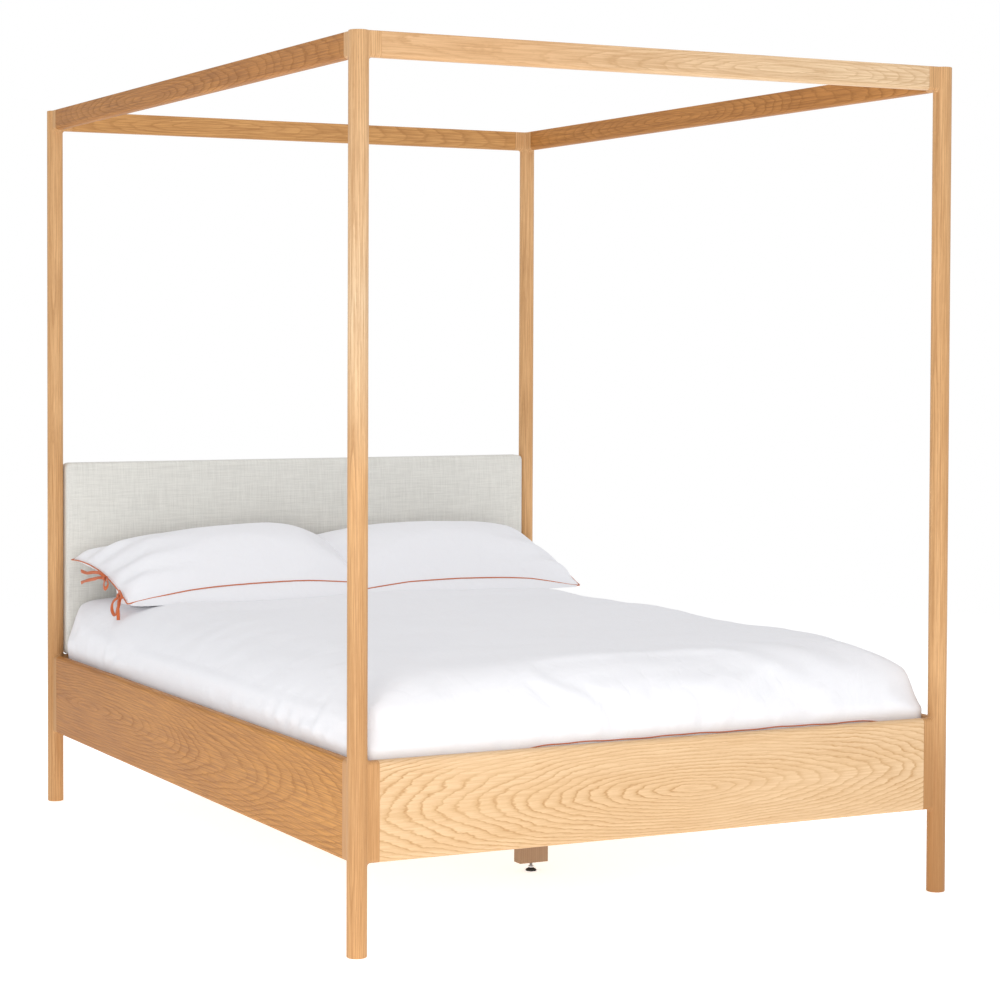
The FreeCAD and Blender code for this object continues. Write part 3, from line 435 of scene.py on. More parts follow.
def add_piece(name, vertices, faces, material, body):
    mesh = bpy.data.meshes.new(name)
    mesh.from_pydata([tuple(point) for point in vertices], [], faces)
    mesh.validate()
    mesh.update()
    mesh.shade_smooth()
    mesh.materials.append(material)
    piece = new_object(name, mesh)
    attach(piece, body)
    return piece


def subdivided(piece):
    modifier = piece.modifiers.new("smooth", "SUBSURF")
    modifier.levels = 1
    modifier.render_levels = 1
    return piece


def smoothstep(value, low, high):
    share = np.clip((value - low) / (high - low), 0, 1)
    return share * share * (3 - 2 * share)


def unit(vectors):
    """The same directions with length 1; no direction stays none."""
    return vectors / np.maximum(np.linalg.norm(vectors, axis=1, keepdims=True), 1e-12)


def bump_at(value, middle, width):
    """Smooth hill of height 1 at middle, gone at width to either side."""
    return smoothstep(width - np.abs(value - middle), 0, width)


def noise_field(points, rate, seed):
    """Soft noise from about -1 to 1 at each point; rate is cycles a metre along each axis."""
    shift = Vector((seed * 3.1, seed * 7.7, seed * 1.3))
    stretched = np.asarray(points) * np.asarray(rate)
    return np.array([noise.noise(Vector(point) + shift) for point in stretched])


def ring_faces(rings, sides, closed=False, first=0):
    """Quads from ring to ring of points, numbered from first; the ends are capped unless the rings close."""
    faces = []
    for ring in range(rings if closed else rings - 1):
        here = first + ring * sides
        there = first + (ring + 1) % rings * sides
        for step in range(sides):
            turned = (step + 1) % sides
            faces.append((here + step, here + turned, there + turned, there + step))
    if not closed:
        last = first + (rings - 1) * sides
        faces.append(tuple(first + step for step in reversed(range(sides))))
        faces.append(tuple(last + step for step in range(sides)))
    return faces


def circle(middle, side, other, radius, count):
    """Points round a circle that lies across two directions."""
    angles = [math.tau * step / count for step in range(count)]
    return [middle + (side * math.cos(angle) + other * math.sin(angle)) * radius for angle in angles]


def tube(name, path, radius, material, body, closed=False):
    """Round cord along a list of points."""
    sides = 10
    points = [Vector(point) for point in path]
    count = len(points)
    vertices = []
    side = None
    for index, point in enumerate(points):
        before = points[index - 1] if closed or index else point
        after = points[(index + 1) % count] if closed or index < count - 1 else point
        along = (after - before).normalized()
        if side is None:
            side = along.orthogonal().normalized()
        side = (side - along * side.dot(along)).normalized()
        other = along.cross(side)
        vertices += circle(point, side, other, radius, sides)
    return add_piece(name, vertices, ring_faces(count, sides, closed), material, body)


def catmull_rom(before, first, second, after, share):
    """Smooth curve from first to second, with the points on either side of them."""
    return 0.5 * (2 * first + (second - before) * share
                  + (2 * before - 5 * first + 4 * second - after) * share ** 2
                  + (3 * first - before - 3 * second + after) * share ** 3)


def smooth_path(corners, spacing, closed=False):
    """Even points along a rounded path through the corners."""
    corners = [Vector(corner) for corner in corners]
    count = len(corners)
    raw = []
    for index in range(count if closed else count - 1):
        at = [corners[(index + offset) % count] if closed else corners[min(max(index + offset, 0), count - 1)]
              for offset in (-1, 0, 1, 2)]
        raw += [catmull_rom(*at, step / 16) for step in range(16)]
    raw.append(corners[0] if closed else corners[-1])
    lengths = [0.0]
    for first, second in zip(raw, raw[1:]):
        lengths.append(lengths[-1] + (second - first).length)
    steps = max(2, round(lengths[-1] / spacing))
    wanted = np.linspace(0, lengths[-1], steps + 1)
    if closed:
        wanted = wanted[:-1]
    columns = [np.interp(wanted, lengths, [point[axis] for point in raw]) for axis in range(3)]
    return [Vector(point) for point in zip(*columns)]


def grid_edge(wide, long):
    """The outer places of a grid, in order all round."""
    around = [(i, 0) for i in range(wide)] + [(wide, j) for j in range(long)]
    return around + [(i, long) for i in range(wide, 0, -1)] + [(0, j) for j in range(long, 0, -1)]


# ---- cloth simulation
def inflate(vertices, faces, held, pressure, frames, excess=0.0, stiffness=15.0, bending=0.5, rest=None):
    """Where cloth of this shape goes under pressure, with the held points kept.

    excess is spare cloth, as a share of its size; rest gives the points of the slack cloth if they differ.
    """
    mesh = bpy.data.meshes.new("cloth_rest")
    mesh.from_pydata([tuple(point) for point in vertices], [], faces)
    mesh.update()
    body = new_object("cloth_rest", mesh)
    if rest is not None:
        body.shape_key_add(name="started", from_mix=False)
        slack = body.shape_key_add(name="slack", from_mix=False)
        for place, point in zip(slack.data, rest):
            place.co = point
    modifier = body.modifiers.new("cloth", "CLOTH")
    settings = modifier.settings
    settings.quality = 5
    if rest is not None:
        settings.rest_shape_key = slack
    settings.tension_stiffness = settings.compression_stiffness = stiffness
    settings.shear_stiffness = stiffness / 3
    settings.bending_stiffness = bending
    settings.use_pressure = True
    settings.uniform_pressure_force = pressure
    settings.shrink_min = settings.shrink_max = -excess
    settings.effector_weights.gravity = 0
    if len(held):
        group = body.vertex_groups.new(name="held")
        group.add([int(index) for index in held], 1.0, "REPLACE")
        settings.vertex_group_mass = "held"
    modifier.point_cache.frame_start = 1
    modifier.point_cache.frame_end = frames + 1
    for frame_number in range(1, frames + 1):
        bpy.context.scene.frame_set(frame_number)
    shaped = body.evaluated_get(bpy.context.evaluated_depsgraph_get())
    result = np.array([vertex.co[:] for vertex in shaped.data.vertices])
    bpy.data.objects.remove(body)
    bpy.context.scene.frame_set(1)
    return result


def capped(start, end, most):
    """Move each point from start towards end, but no further than most."""
    move = end - start
    far = np.linalg.norm(move, axis=1, keepdims=True)
    return start + move * np.minimum(1, most / np.maximum(far, 1e-9))


def shell_lattice(low, high, step):
    """Open-bottomed box of quads: lattice places from 0 to 1, faces, and the rim in order."""
    wide, long, tall = (max(2, round((high[axis] - low[axis]) / step)) for axis in range(3))
    number = {}
    places = []
    faces = []

    def corner(i, j, k):
        if (i, j, k) not in number:
            number[i, j, k] = len(places)
            places.append((i / wide, j / long, k / tall))
        return number[i, j, k]

    def quad(*corners):
        faces.append(tuple(corner(*place) for place in corners))

    for i in range(wide):
        for j in range(long):
            quad((i, j, tall), (i + 1, j, tall), (i + 1, j + 1, tall), (i, j + 1, tall))
    for k in range(tall):
        for i in range(wide):
            quad((i, 0, k), (i + 1, 0, k), (i + 1, 0, k + 1), (i, 0, k + 1))
            quad((i + 1, long, k), (i, long, k), (i, long, k + 1), (i + 1, long, k + 1))
        for j in range(long):
            quad((0, j + 1, k), (0, j, k), (0, j, k + 1), (0, j + 1, k + 1))
            quad((wide, j, k), (wide, j + 1, k), (wide, j + 1, k + 1), (wide, j, k + 1))
    rim = [number[i, j, 0] for i, j in grid_edge(wide, long)]
    return np.array(places), faces, rim


def box_mesh_neighbours(count, faces):
    """For each point, the points that share an edge with it."""
    around = [set() for _ in range(count)]
    for face in faces:
        for first, second in zip(face, face[1:] + face[:1]):
            around[first].add(second)
            around[second].add(first)
    return around


def relaxed(points, neighbours, weight, rounds):
    """Even out the points; weight from 0 to 1 says how much each may move."""
    most = max(len(near) for near in neighbours)
    table = np.array([sorted(near) + [index] * (most - len(near)) for index, near in enumerate(neighbours)])
    count = np.array([len(near) for near in neighbours])
    spare = most - count
    for _ in range(rounds):
        total = points[table].sum(axis=1) - points * spare[:, None]
        points = points + (total / count[:, None] - points) * weight[:, None]
    return points


def surface_normals(points, faces):
    corners = points[np.array(faces)]
    across = np.cross(corners[:, 2] - corners[:, 0], corners[:, 3] - corners[:, 1])
    normals = np.zeros_like(points)
    for place in range(4):
        np.add.at(normals, np.array(faces)[:, place], across)
    return unit(normals)


# ---- duvet
DUVET_STEP = 0.015
DUVET_CORNER = 0.030
DUVET_TOP = 0.600
DUVET_SHOULDER = 0.440
DUVET_GAP = 0.003                # least room between the cover and its lining
SIDE_ROLL = 0.20
FOOT_ROLL = 0.125
HEAD_ROLL = 0.05
HEAD_SIDE_ROLL = 0.075           # beside the pillows the duvet is fuller at its sides
RAIL_TOP = 0.437                 # just above the rails, below which the hem is held
CLOTH_CAP = 0.005                # how far the simulated cloth may leave the draped form
LINING_ROLL = 0.026
POST_RADIUS = 0.0225
POST_GAP = 0.002
PILLOW_REACH = 0.46              # the pillows lie between here and the headboard


def draped_form(places, low, high, corner, shoulder, side_roll, foot_roll, head_roll):
    """Lattice places laid over a box: upright below the shoulder, then falling in over each roll's width."""
    points = low + places * (high - low)
    centre = (low + high) / 2
    half = (high - low) / 2
    sign = np.where(points[:, :2] < centre[:2], -1.0, 1.0)
    square = np.abs(points[:, :2] - centre[:2]) - (half[:2] - corner)
    in_corner = np.min(square, axis=1) > 0
    reach = np.hypot(square[:, 0], square[:, 1])
    shrink = np.where(in_corner, np.max(square, axis=1) / np.maximum(reach, 1e-9), 1.0)
    square = square * shrink[:, None]
    to_side = (square[:, 0] > square[:, 1])[:, None]
    outward = unit(np.where(in_corner[:, None], square, np.where(to_side, [[1.0, 0.0]], [[0.0, 1.0]])))
    depth = corner - np.where(in_corner, np.hypot(square[:, 0], square[:, 1]), np.max(square, axis=1))
    end_roll = np.where(sign[:, 1] < 0, foot_roll, head_roll)
    width = side_roll * outward[:, 0] ** 2 + end_roll * outward[:, 1] ** 2
    rise = high[2] - shoulder
    on_top = places[:, 2] > 0.9999
    unrolled = np.where(on_top, rise + depth, points[:, 2] - shoulder)
    share = np.clip(unrolled / (rise + width), 0, 1)
    bending = (unrolled > 0) & (share < 1)
    angle = share * math.pi / 2
    inset = np.where(bending, width * (1 - np.cos(angle) ** 0.85), depth)
    height = np.where(bending, shoulder + rise * np.sin(angle) ** 0.9, points[:, 2])
    flat = square + (half[:2] - corner) - outward * (inset - depth)[:, None]
    return np.column_stack([centre[:2] + sign * flat, height])


def duvet_swell(points):
    """Soft hills and hollows of the filling, in metres along the surface's normal."""
    broad = noise_field(points, (2.1, 1.7, 2.0), 3) * 0.010
    lumps = noise_field(points, (5.5, 4.2, 5.0), 8) * 0.0035
    crown = 0.006 * (1 - np.clip(np.abs(points[:, 0]) / 0.7, 0, 1) ** 2)
    ridge = 0.008 * bump_at(points[:, 1], 0.50, 0.16)
    low_down = 1 - smoothstep(points[:, 2], 0.44, 0.555)
    at_hem = 1 - smoothstep(points[:, 2], 0.430, 0.500)
    puckers = (0.35 + noise_field(points, (15.0, 15.0, 4.0), 12)) * 0.0060
    gathers = (0.30 + noise_field(points, (30.0, 30.0, 7.0), 17)) * 0.0090 * at_hem
    fan_at = bump_at(points[:, 0], -0.70, 0.12) * bump_at(points[:, 1], -0.62, 0.42)
    fan = 0.0075 * (0.8 + np.sin(78 * points[:, 1] + 30 * points[:, 2] + 3 * broad / 0.01)) * fan_at
    slant = points[:, 0] * 30 + points[:, 1] * 22 + points[:, 2] * 60
    draws = 0.0034 * np.sin(slant + 2.5 * lumps / 0.0035) * bump_at(points[:, 0], 0.35, 0.50)
    draws *= bump_at(points[:, 1], -0.92, 0.16)
    soft_folds = noise_field(points, (3.4, 8.5, 3.0), 31) * 0.0040
    beside = bump_at(points[:, 0], -0.66, 0.20) * bump_at(points[:, 1], 0.10, 0.95)
    side_folds = noise_field(points, (6.0, 11.0, 5.0), 44) * 0.0065 * beside
    swell = side_folds + broad + lumps + crown + ridge + soft_folds + draws
    swell = swell + low_down * (puckers + fan) + gathers
    near_lining = 1 - smoothstep(points[:, 2], 0.515, 0.55)
    return np.where(swell < 0, swell * (1 - near_lining), swell)


def pressed_under(points, above, gap, rounds, neighbours):
    """Push points down clear of the pieces above them, and ease the cloth round the dents."""
    limit = np.full(len(points), 9.0)
    for index, point in enumerate(points):
        if point[1] > PILLOW_REACH:
            hit = above.ray_cast(Vector((point[0], point[1], 0.45)), Vector((0, 0, 1)), 0.5)[0]
            if hit is not None:
                limit[index] = hit.z - gap
    points = points.copy()
    near = smoothstep(points[:, 1], PILLOW_REACH, PILLOW_REACH + 0.08) * smoothstep(points[:, 2], 0.50, 0.56)
    for _ in range(rounds):
        points[:, 2] = np.minimum(points[:, 2], limit)
        points = relaxed(points, neighbours, 0.5 * near, 1)
    points[:, 2] = np.minimum(points[:, 2], limit)
    return points


def kept_inside(points):
    """Hold the duvet off the rails, the headboard and the round posts."""
    points = points.copy()
    low, high = box_of("duvet")
    over_rail = smoothstep(points[:, 2], 0.426, 0.462)
    side = high[0] - 0.0005 + 0.016 * over_rail
    foot = low[1] + 0.0005 - 0.016 * over_rail
    points[:, 0] = np.clip(points[:, 0], -side, side)
    points[:, 1] = np.clip(points[:, 1], foot, high[1])
    for name in ("post_front_left", "post_front_right", "post_rear_left", "post_rear_right"):
        post_low, post_high = box_of(name)
        outer = np.where(post_low[:2] < 0, post_low[:2], post_high[:2])
        middle = outer - np.sign(outer) * POST_RADIUS
        away = points[:, :2] - middle
        far = np.linalg.norm(away, axis=1)
        push = np.maximum(POST_RADIUS + POST_GAP - far, 0) / np.maximum(far, 1e-9)
        points[:, :2] += away * push[:, None]
    return points


def kept_outside(points, lining, faces, gap):
    """Hold the cover at least a gap away from its lining."""
    tree = BVHTree.FromPolygons([Vector(point) for point in lining], faces)
    points = points.copy()
    for index in np.where(points[:, 2] < 0.56)[0]:
        near, normal, _, _ = tree.find_nearest(Vector(points[index]))
        away = (Vector(points[index]) - near).dot(normal)
        if away < gap:
            points[index] = near + normal * gap
    return points


def duvet_form(low, high, places, faces, rim, neighbours):
    """The duvet's outer surface before the pillows press on it."""
    lengthways = low[1] + places[:, 1] * (high[1] - low[1])
    side_roll = SIDE_ROLL + (HEAD_SIDE_ROLL - SIDE_ROLL) * smoothstep(lengthways, 0.45, 0.90)
    form = draped_form(places, low, high, DUVET_CORNER, DUVET_SHOULDER, side_roll, FOOT_ROLL, HEAD_ROLL)
    free = smoothstep(form[:, 2], 0.445, 0.50)
    foot_corner = np.hypot(0.76 - np.abs(form[:, 0]), form[:, 1] + 1.034)
    near_corner = 1 - smoothstep(foot_corner, 0.22, 0.42)
    form = relaxed(form, neighbours, free * (0.15 + 0.7 * near_corner), 30)
    normals = surface_normals(form, faces)
    at_headboard = (form[:, 1] > high[1] - 0.02) & (form[:, 2] < 0.52)
    held = np.where((form[:, 2] < RAIL_TOP) | at_headboard)[0]
    closed = faces + [tuple(reversed(rim))]
    swollen = inflate(form, closed, held, 1.0, 14, excess=0.02, stiffness=12, bending=1.0)
    form = capped(form, swollen, CLOTH_CAP)
    return form + normals * (duvet_swell(form) * smoothstep(form[:, 2], 0.432, 0.46))[:, None]


def make_duvet(material, pillow_tree):
    low, high = box_of("duvet")
    high[2] = DUVET_TOP
    low[:2] += 0.001
    high[:2] -= 0.001
    places, faces, rim = shell_lattice(low, high, DUVET_STEP)
    neighbours = box_mesh_neighbours(len(places), faces)
    form = duvet_form(low, high, places, faces, rim, neighbours)
    room_low, room_high = box_of("mattress")
    room_low += (-0.0012, -0.0012, 0)
    room_high += (0.0012, 0.0012, 0.0008)
    room_low[2] = low[2]
    rolls = (LINING_ROLL, LINING_ROLL, LINING_ROLL)
    lining = draped_form(places, room_low, room_high, 0.055, room_high[2] - LINING_ROLL, *rolls)
    form = pressed_under(form, pillow_tree, 0.0015, 8, neighbours)
    form = kept_inside(kept_outside(form, lining, faces, DUVET_GAP))
    count = len(form)
    whole = list(faces) + [tuple(count + index for index in reversed(face)) for face in faces]
    for first, second in zip(rim, rim[1:] + rim[:1]):
        whole.append((second, first, count + first, count + second))
    cover = subdivided(add_piece("duvet_cover", np.vstack([form, lining]), whole, material, "duvet"))
    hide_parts("duvet")


# ---- pillows
PILLOW_LENGTH = 0.75
PILLOW_WIDTH = 0.50
PILLOW_LOFT = 0.004              # how far apart the flat panels start
PILLOW_CROWN = 0.098
PILLOW_BELLY = 0.095
PILLOW_REST = 0.598              # height of the pressed duvet under the pillows
PILLOW_SPREAD = 0.9              # how far the filling pushes the seams back out towards the flat cut
BULGE = 0.075                    # how far the underside swells out past the front seam
BULGE_DEPTH = 0.12

# Each pillow's front and back seam, from left to right, as points of a smooth curve.
PILLOWS = {
    "left": {
        "front": ((-0.700, 0.635, 0.604), (-0.520, 0.628, 0.636), (-0.340, 0.620, 0.648),
                  (-0.165, 0.622, 0.650), (0.025, 0.650, 0.636)),
        "back": ((-0.745, 1.000, 0.704), (-0.555, 0.998, 0.738), (-0.350, 0.998, 0.754),
                 (-0.150, 0.985, 0.762), (0.050, 0.900, 0.712)),
        "end_arch": (0.030, 0.018), "gather": 0.10, "seed": 5, "fan_end": -1, "right_full": 0.02,
    },
    "right": {
        "front": ((-0.060, 0.640, 0.606), (0.130, 0.600, 0.634), (0.340, 0.598, 0.640),
                  (0.550, 0.612, 0.630), (0.745, 0.640, 0.597)),
        "back": ((-0.040, 0.990, 0.742), (0.130, 0.998, 0.752), (0.340, 0.998, 0.750),
                 (0.550, 0.998, 0.742), (0.735, 0.985, 0.700)),
        "end_arch": (0.010, 0.020), "gather": 0.05, "seed": 11, "fan_end": 1, "right_full": 0.0,
    },
}


def pillow_pattern(step):
    """Two flat sheets joined all round: points, faces, which sheet each point is on, and the seam."""
    along = round(PILLOW_LENGTH / step)
    across = round(PILLOW_WIDTH / step)
    number = {}
    points = []
    sheet = []

    def corner(i, j, side):
        edge = i in (0, along) or j in (0, across)
        key = (i, j, 0 if edge else side)
        if key not in number:
            a, b = 2 * i / along - 1, 2 * j / across - 1
            loft = PILLOW_LOFT * (1 - a * a) * (1 - b * b)
            number[key] = len(points)
            points.append((a * PILLOW_LENGTH / 2, b * PILLOW_WIDTH / 2, loft * key[2]))
            sheet.append(key[2])
        return number[key]

    faces = []
    for side in (1, -1):
        for i in range(along):
            for j in range(across):
                quad = [corner(*place, side) for place in ((i, j), (i + 1, j), (i + 1, j + 1), (i, j + 1))]
                faces.append(tuple(quad if side > 0 else reversed(quad)))
    seam = [number[i, j, 0] for i, j in grid_edge(along, across)]
    return np.array(points), faces, np.array(sheet), seam


def curve_through(knots, share):
    """Points at share 0 to 1 along a smooth curve through evenly spaced knots."""
    knots = np.array(knots, float)
    place = np.clip(share, 0, 1) * (len(knots) - 1)
    index = np.clip(np.floor(place).astype(int), 0, len(knots) - 2)
    before = knots[np.maximum(index - 1, 0)]
    after = knots[np.minimum(index + 2, len(knots) - 1)]
    return catmull_rom(before, knots[index], knots[index + 1], after, (place - index)[:, None])


def pillow_place(look, local, sheet):
    """Carry points from the flat pillow to where it lies, leaning on the headboard."""
    a = local[:, 0] / (PILLOW_LENGTH / 2)
    b = local[:, 1] / (PILLOW_WIDTH / 2)
    above = sheet > 0
    below = sheet < 0

    def seam_plane(a, b):
        front, back = (curve_through(look[edge], (a + 1) / 2) for edge in ("front", "back"))
        flat = front + (back - front) * ((b + 1) / 2)[:, None]
        left_arch, right_arch = look["end_arch"]
        flat[:, 2] += np.where(a < 0, left_arch, right_arch) * np.abs(a) ** 3 * (1 - np.clip(b, -1, 1) ** 2)
        return flat

    nudge = 0.02
    run = seam_plane(a + nudge, b) - seam_plane(a - nudge, b)
    rise = seam_plane(a, b + nudge) - seam_plane(a, b - nudge)
    full = 1 + look["right_full"] * bump_at(a, 0.62, 0.33)
    fan = np.sin(15 * b + 4.0 * noise_field(local, (2.0, 5.0, 1.0), look["seed"]))
    fan *= smoothstep(look["fan_end"] * a, 0.15, 0.80) * smoothstep(1 - np.abs(a), 0.0, 0.10)
    pucker = noise_field(local, (26.0, 5.0, 1.0), look["seed"] + 1) * (1 - smoothstep(b, -0.95, -0.55))
    folds = smoothstep(local[:, 2], 0.0, 0.02) * above * (0.0060 * fan + 0.0030 * pucker)
    lift = np.where(sheet == 0, 0, local[:, 2])
    thick = lift * full + folds * smoothstep(1 - np.abs(b), 0.0, 0.10)
    world = seam_plane(a, b) + unit(np.cross(run, rise)) * thick[:, None]

    # The underside swells out past the front seam and drops steeply to the duvet.
    in_from_seam = (b + 1) * PILLOW_WIDTH / 2
    pushed = np.sin(np.clip(in_from_seam / BULGE_DEPTH, 0, 1) * math.pi)
    world[:, 1] -= BULGE * pushed * below * smoothstep(1 - np.abs(a), 0.0, 0.12)
    seam = curve_through(look["front"], (a + 1) / 2)
    steep = 1 - np.sin(np.clip(in_from_seam / 0.05, 0, 1) * math.pi / 2)
    sunk = PILLOW_REST + (seam[:, 2] - PILLOW_REST) * steep
    near_front = below & (in_from_seam < BULGE_DEPTH)
    world[:, 2] = np.where(near_front, np.minimum(world[:, 2], sunk), world[:, 2])
    held_back = seam[:, 1] + 0.2 * in_from_seam
    world[:, 1] = np.where(above, np.maximum(world[:, 1], held_back), world[:, 1])

    # It flattens softly where it rests on the duvet.
    soft = 0.012
    over = world[:, 2] - PILLOW_REST
    world[:, 2] = PILLOW_REST + np.where(over > soft, over, soft * np.exp(np.minimum(over / soft - 1, 0)))
    return world


def make_pillow(name, look, material, body):
    """A pillow in its case: where its points lie, its seam and its faces."""
    points, faces, sheet, seam = pillow_pattern(0.0105)
    a = points[:, 0] / (PILLOW_LENGTH / 2)
    gathered = points.copy()
    gathered[:, 1] *= 1 - look["gather"] * smoothstep(-a, 0.55, 1.0)
    frames = 20
    swollen = inflate(gathered, faces, [], 5.0, frames, stiffness=20, bending=0.15, rest=points)
    swollen[:, :2] += (points[:, :2] - swollen[:, :2]) * PILLOW_SPREAD
    top, bottom = swollen[:, 2].max(), -swollen[:, 2].min()
    swollen[:, 2] *= np.where(sheet > 0, PILLOW_CROWN / top, PILLOW_BELLY / bottom)
    world = pillow_place(look, swollen, sheet)
    cover = subdivided(add_piece(name, world, faces, material, body))
    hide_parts(body)
    return world, seam, faces


# ---- timber and fixings
def centre_of(name):
    low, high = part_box(name)
    return (low + high) / 2


def finish_node(name, material):
    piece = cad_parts[name]
    if not piece.material_slots:
        piece.data.materials.append(material)
    for material_slot in piece.material_slots:
        material_slot.material = material


def finish_timber():
    """Each board gets its own figure. The letters name its axes along, across and through the grain."""
    boards = [
        ("foot_rail", "xzy", OAK_FRONT_LIT), ("head_rail", "xzy", OAK_MIDDLE),
        ("side_rail_left", "yzx", OAK_LEFT_RAIL_SHADED_LIT_FRONT), ("side_rail_right", "yzx", OAK_MIDDLE),
        ("canopy_rail_foot", "xzy", OAK_CANOPY), ("canopy_rail_head", "xzy", OAK_MIDDLE),
        ("canopy_rail_left", "yzx", OAK_UPPER), ("canopy_rail_right", "yzx", OAK_UPPER),
        ("post_front_left", "zxy", OAK_POST_FRONT_LEFT), ("post_front_right", "zxy", OAK_POST_FRONT_RIGHT),
        ("post_rear_left", "zxy", OAK_POST_REAR_LEFT), ("post_rear_right", "zxy", OAK_POST),
        ("side_ledger_left", "yxz", PINE), ("side_ledger_right", "yxz", PINE),
        ("centre_beam", "yzx", PINE),
        ("centre_leg_foot", "zxy", LEG_WOOD_SHADED), ("centre_leg_head", "zxy", LEG_WOOD_SHADED),
    ]
    slats = (name for name in sorted(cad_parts) if name.startswith("slat_") and name[5:].isdigit())
    boards += [(name, "xyz", PINE) for name in slats]
    for seed, (name, order, look) in enumerate(boards, start=1):
        finish_node(name, wood_material("wood_" + name, centre_of(name), order, seed, look))


def finish_fixings():
    zinc = metal_material("zinc_plate", (0.66, 0.67, 0.70), (0.50, 0.51, 0.53), 0.25, 60.0)
    brass = metal_material("plain_brass", (0.80, 0.62, 0.30), (0.62, 0.46, 0.20), 0.22, 80.0)
    nylon = plastic_material("black_nylon", (0.015, 0.015, 0.017), (0.04, 0.04, 0.042))
    beech = plywood_material("beech_rod", 2)
    looks = (
        (zinc, ("beam_hanger", "glide_stud"), ("_bolts", "_washers", "_nuts", "_pins", "_cams", "_screws")),
        (brass, ("leg_insert",), ()), (nylon, ("glide_pad",), ()), (beech, (), ("_dowels",)),
    )
    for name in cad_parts:
        for material, starts, ends in looks:
            if name.startswith(starts) or name.endswith(ends):
                finish_node(name, material)
    finish_node("headboard_core", plywood_material("birch_plywood", 1))


# ---- padded headboard
FLAP = 0.036                     # linen turned over onto the back of the board
FLAP_PROUD = 0.0012              # how far the turned linen stands off the back
HEADBOARD_ROLL = 0.010
CROWN = 0.0035                   # how much thicker the padding is away from its edges
STAPLE_EVERY = 0.065
STAPLE_WIRE = 0.0005
STAPLE_HALF = 0.006
STAPLE_LEG = 0.0012
STAPLE_IN = 0.008                # from the staple to the linen's cut edge


def make_headboard(linen, steel):
    low, high = box_of("headboard_padding")
    front, back = low[1], high[1]
    flat_low = np.array([low[0], low[2], 0.0])
    flat_high = np.array([high[0], high[2], back - front])
    places, faces, rim = shell_lattice(flat_low, flat_high, 0.013)

    def upright(points):
        """From flat (across, up, towards the front) to the frame."""
        return np.column_stack([points[:, 0], back - points[:, 2], points[:, 1]])

    rolls = (HEADBOARD_ROLL, HEADBOARD_ROLL, HEADBOARD_ROLL)
    form = draped_form(places, flat_low, flat_high, 0.012, back - front - HEADBOARD_ROLL, *rolls)
    edges = [flat_high[0] - np.abs(form[:, 0]), form[:, 1] - low[2], high[2] - form[:, 1]]
    inside = np.min(np.column_stack(edges), axis=1)
    facing = places[:, 2] > 0.9999
    slack = noise_field(form, (3.0, 3.0, 1.0), 21) * 0.0007
    form[:, 2] += np.where(facing, CROWN * smoothstep(inside, 0.0, 0.10) - CROWN + slack, 0)
    pocket_in = np.array([0.0097, 0.0097, 0.0])
    pocket_low = flat_low + pocket_in
    pocket_high = flat_high - pocket_in - (0, 0, 0.0197)
    pocket = draped_form(places, pocket_low, pocket_high, 0.004, pocket_high[2] - 0.001, 0.001, 0.001, 0.001)
    centre = (flat_low[:2] + flat_high[:2]) / 2
    half = (flat_high[:2] - flat_low[:2]) / 2
    rings = []
    for inset, proud in ((0.0, FLAP_PROUD), (FLAP, FLAP_PROUD), (FLAP, 0.0003)):
        ring = form[rim].copy()
        ring[:, :2] = centre + (ring[:, :2] - centre) * (half - inset) / half
        ring[:, 2] = -proud
        rings.append(ring)
    count = len(form)
    whole = [tuple(reversed(face)) for face in faces]
    whole += [tuple(count + index for index in face) for face in faces]
    loops = [rim]
    for number in range(len(rings)):
        first = 2 * count + number * len(rim)
        loops.append(range(first, first + len(rim)))
    loops.append([count + index for index in rim])
    for one, other in zip(loops, loops[1:]):
        for index in range(len(rim)):
            following = (index + 1) % len(rim)
            whole.append((one[index], one[following], other[following], other[index]))
    points = np.vstack([form, pocket] + rings)
    cover = subdivided(add_piece("headboard_linen", upright(points), whole, linen, "root"))
    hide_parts("headboard_padding")
    make_staples(low, high, back + 0.0014, steel)


def make_staples(low, high, depth, steel):
    """Upholstery staples across the edge of the turned linen, on the back of the board."""
    edge = FLAP - STAPLE_IN
    spots = []
    for x in np.arange(low[0] + 0.06, high[0] - 0.05, STAPLE_EVERY):
        spots += [(x, low[2] + edge, 0.25), (x, high[2] - edge, -0.2)]
    for z in np.arange(low[2] + 0.08, high[2] - 0.06, STAPLE_EVERY):
        spots += [(low[0] + edge, z, math.pi / 2 + 0.2), (high[0] - edge, z, math.pi / 2 - 0.2)]
    sides = 6
    into = Vector((0, -1, 0))
    vertices, faces = [], []
    for x, z, turn in spots:
        along = Vector((math.cos(turn), 0, math.sin(turn)))
        middle = Vector((x, depth, z))
        one, other = middle - along * STAPLE_HALF, middle + along * STAPLE_HALF
        sideways = along.cross(into)
        faces += ring_faces(4, sides, first=len(vertices))
        for point, across in ((one + into * STAPLE_LEG, along), (one, into), (other, into),
                              (other + into * STAPLE_LEG, along)):
            vertices += circle(point, sideways, across, STAPLE_WIRE, sides)
    add_piece("headboard_staples", vertices, faces, steel, "root")


# ---- mattress
MATTRESS_HALF_X = 0.7495
MATTRESS_ROLL = 0.028
MATTRESS_BACK = 0.01             # how far the mattress's middle lies towards the foot
QUILT_EVERY = 0.20
TAPE_RADIUS = 0.0040
TAPE_IN = 0.011                  # from the tape to the top or the underside


def rounded_loop(half_x, half_y, corner, centre):
    """Points all round an upright-sided rectangle with rounded corners."""
    path = []
    for index, (side_x, side_y) in enumerate(((1, 1), (-1, 1), (-1, -1), (1, -1))):
        middle = Vector((side_x * (half_x - corner), side_y * (half_y - corner), 0)) + Vector(centre)
        for step in range(7):
            turn = math.radians(90 * index + 15 * step)
            path.append(middle + Vector((math.cos(turn), math.sin(turn), 0)) * corner)
    return path


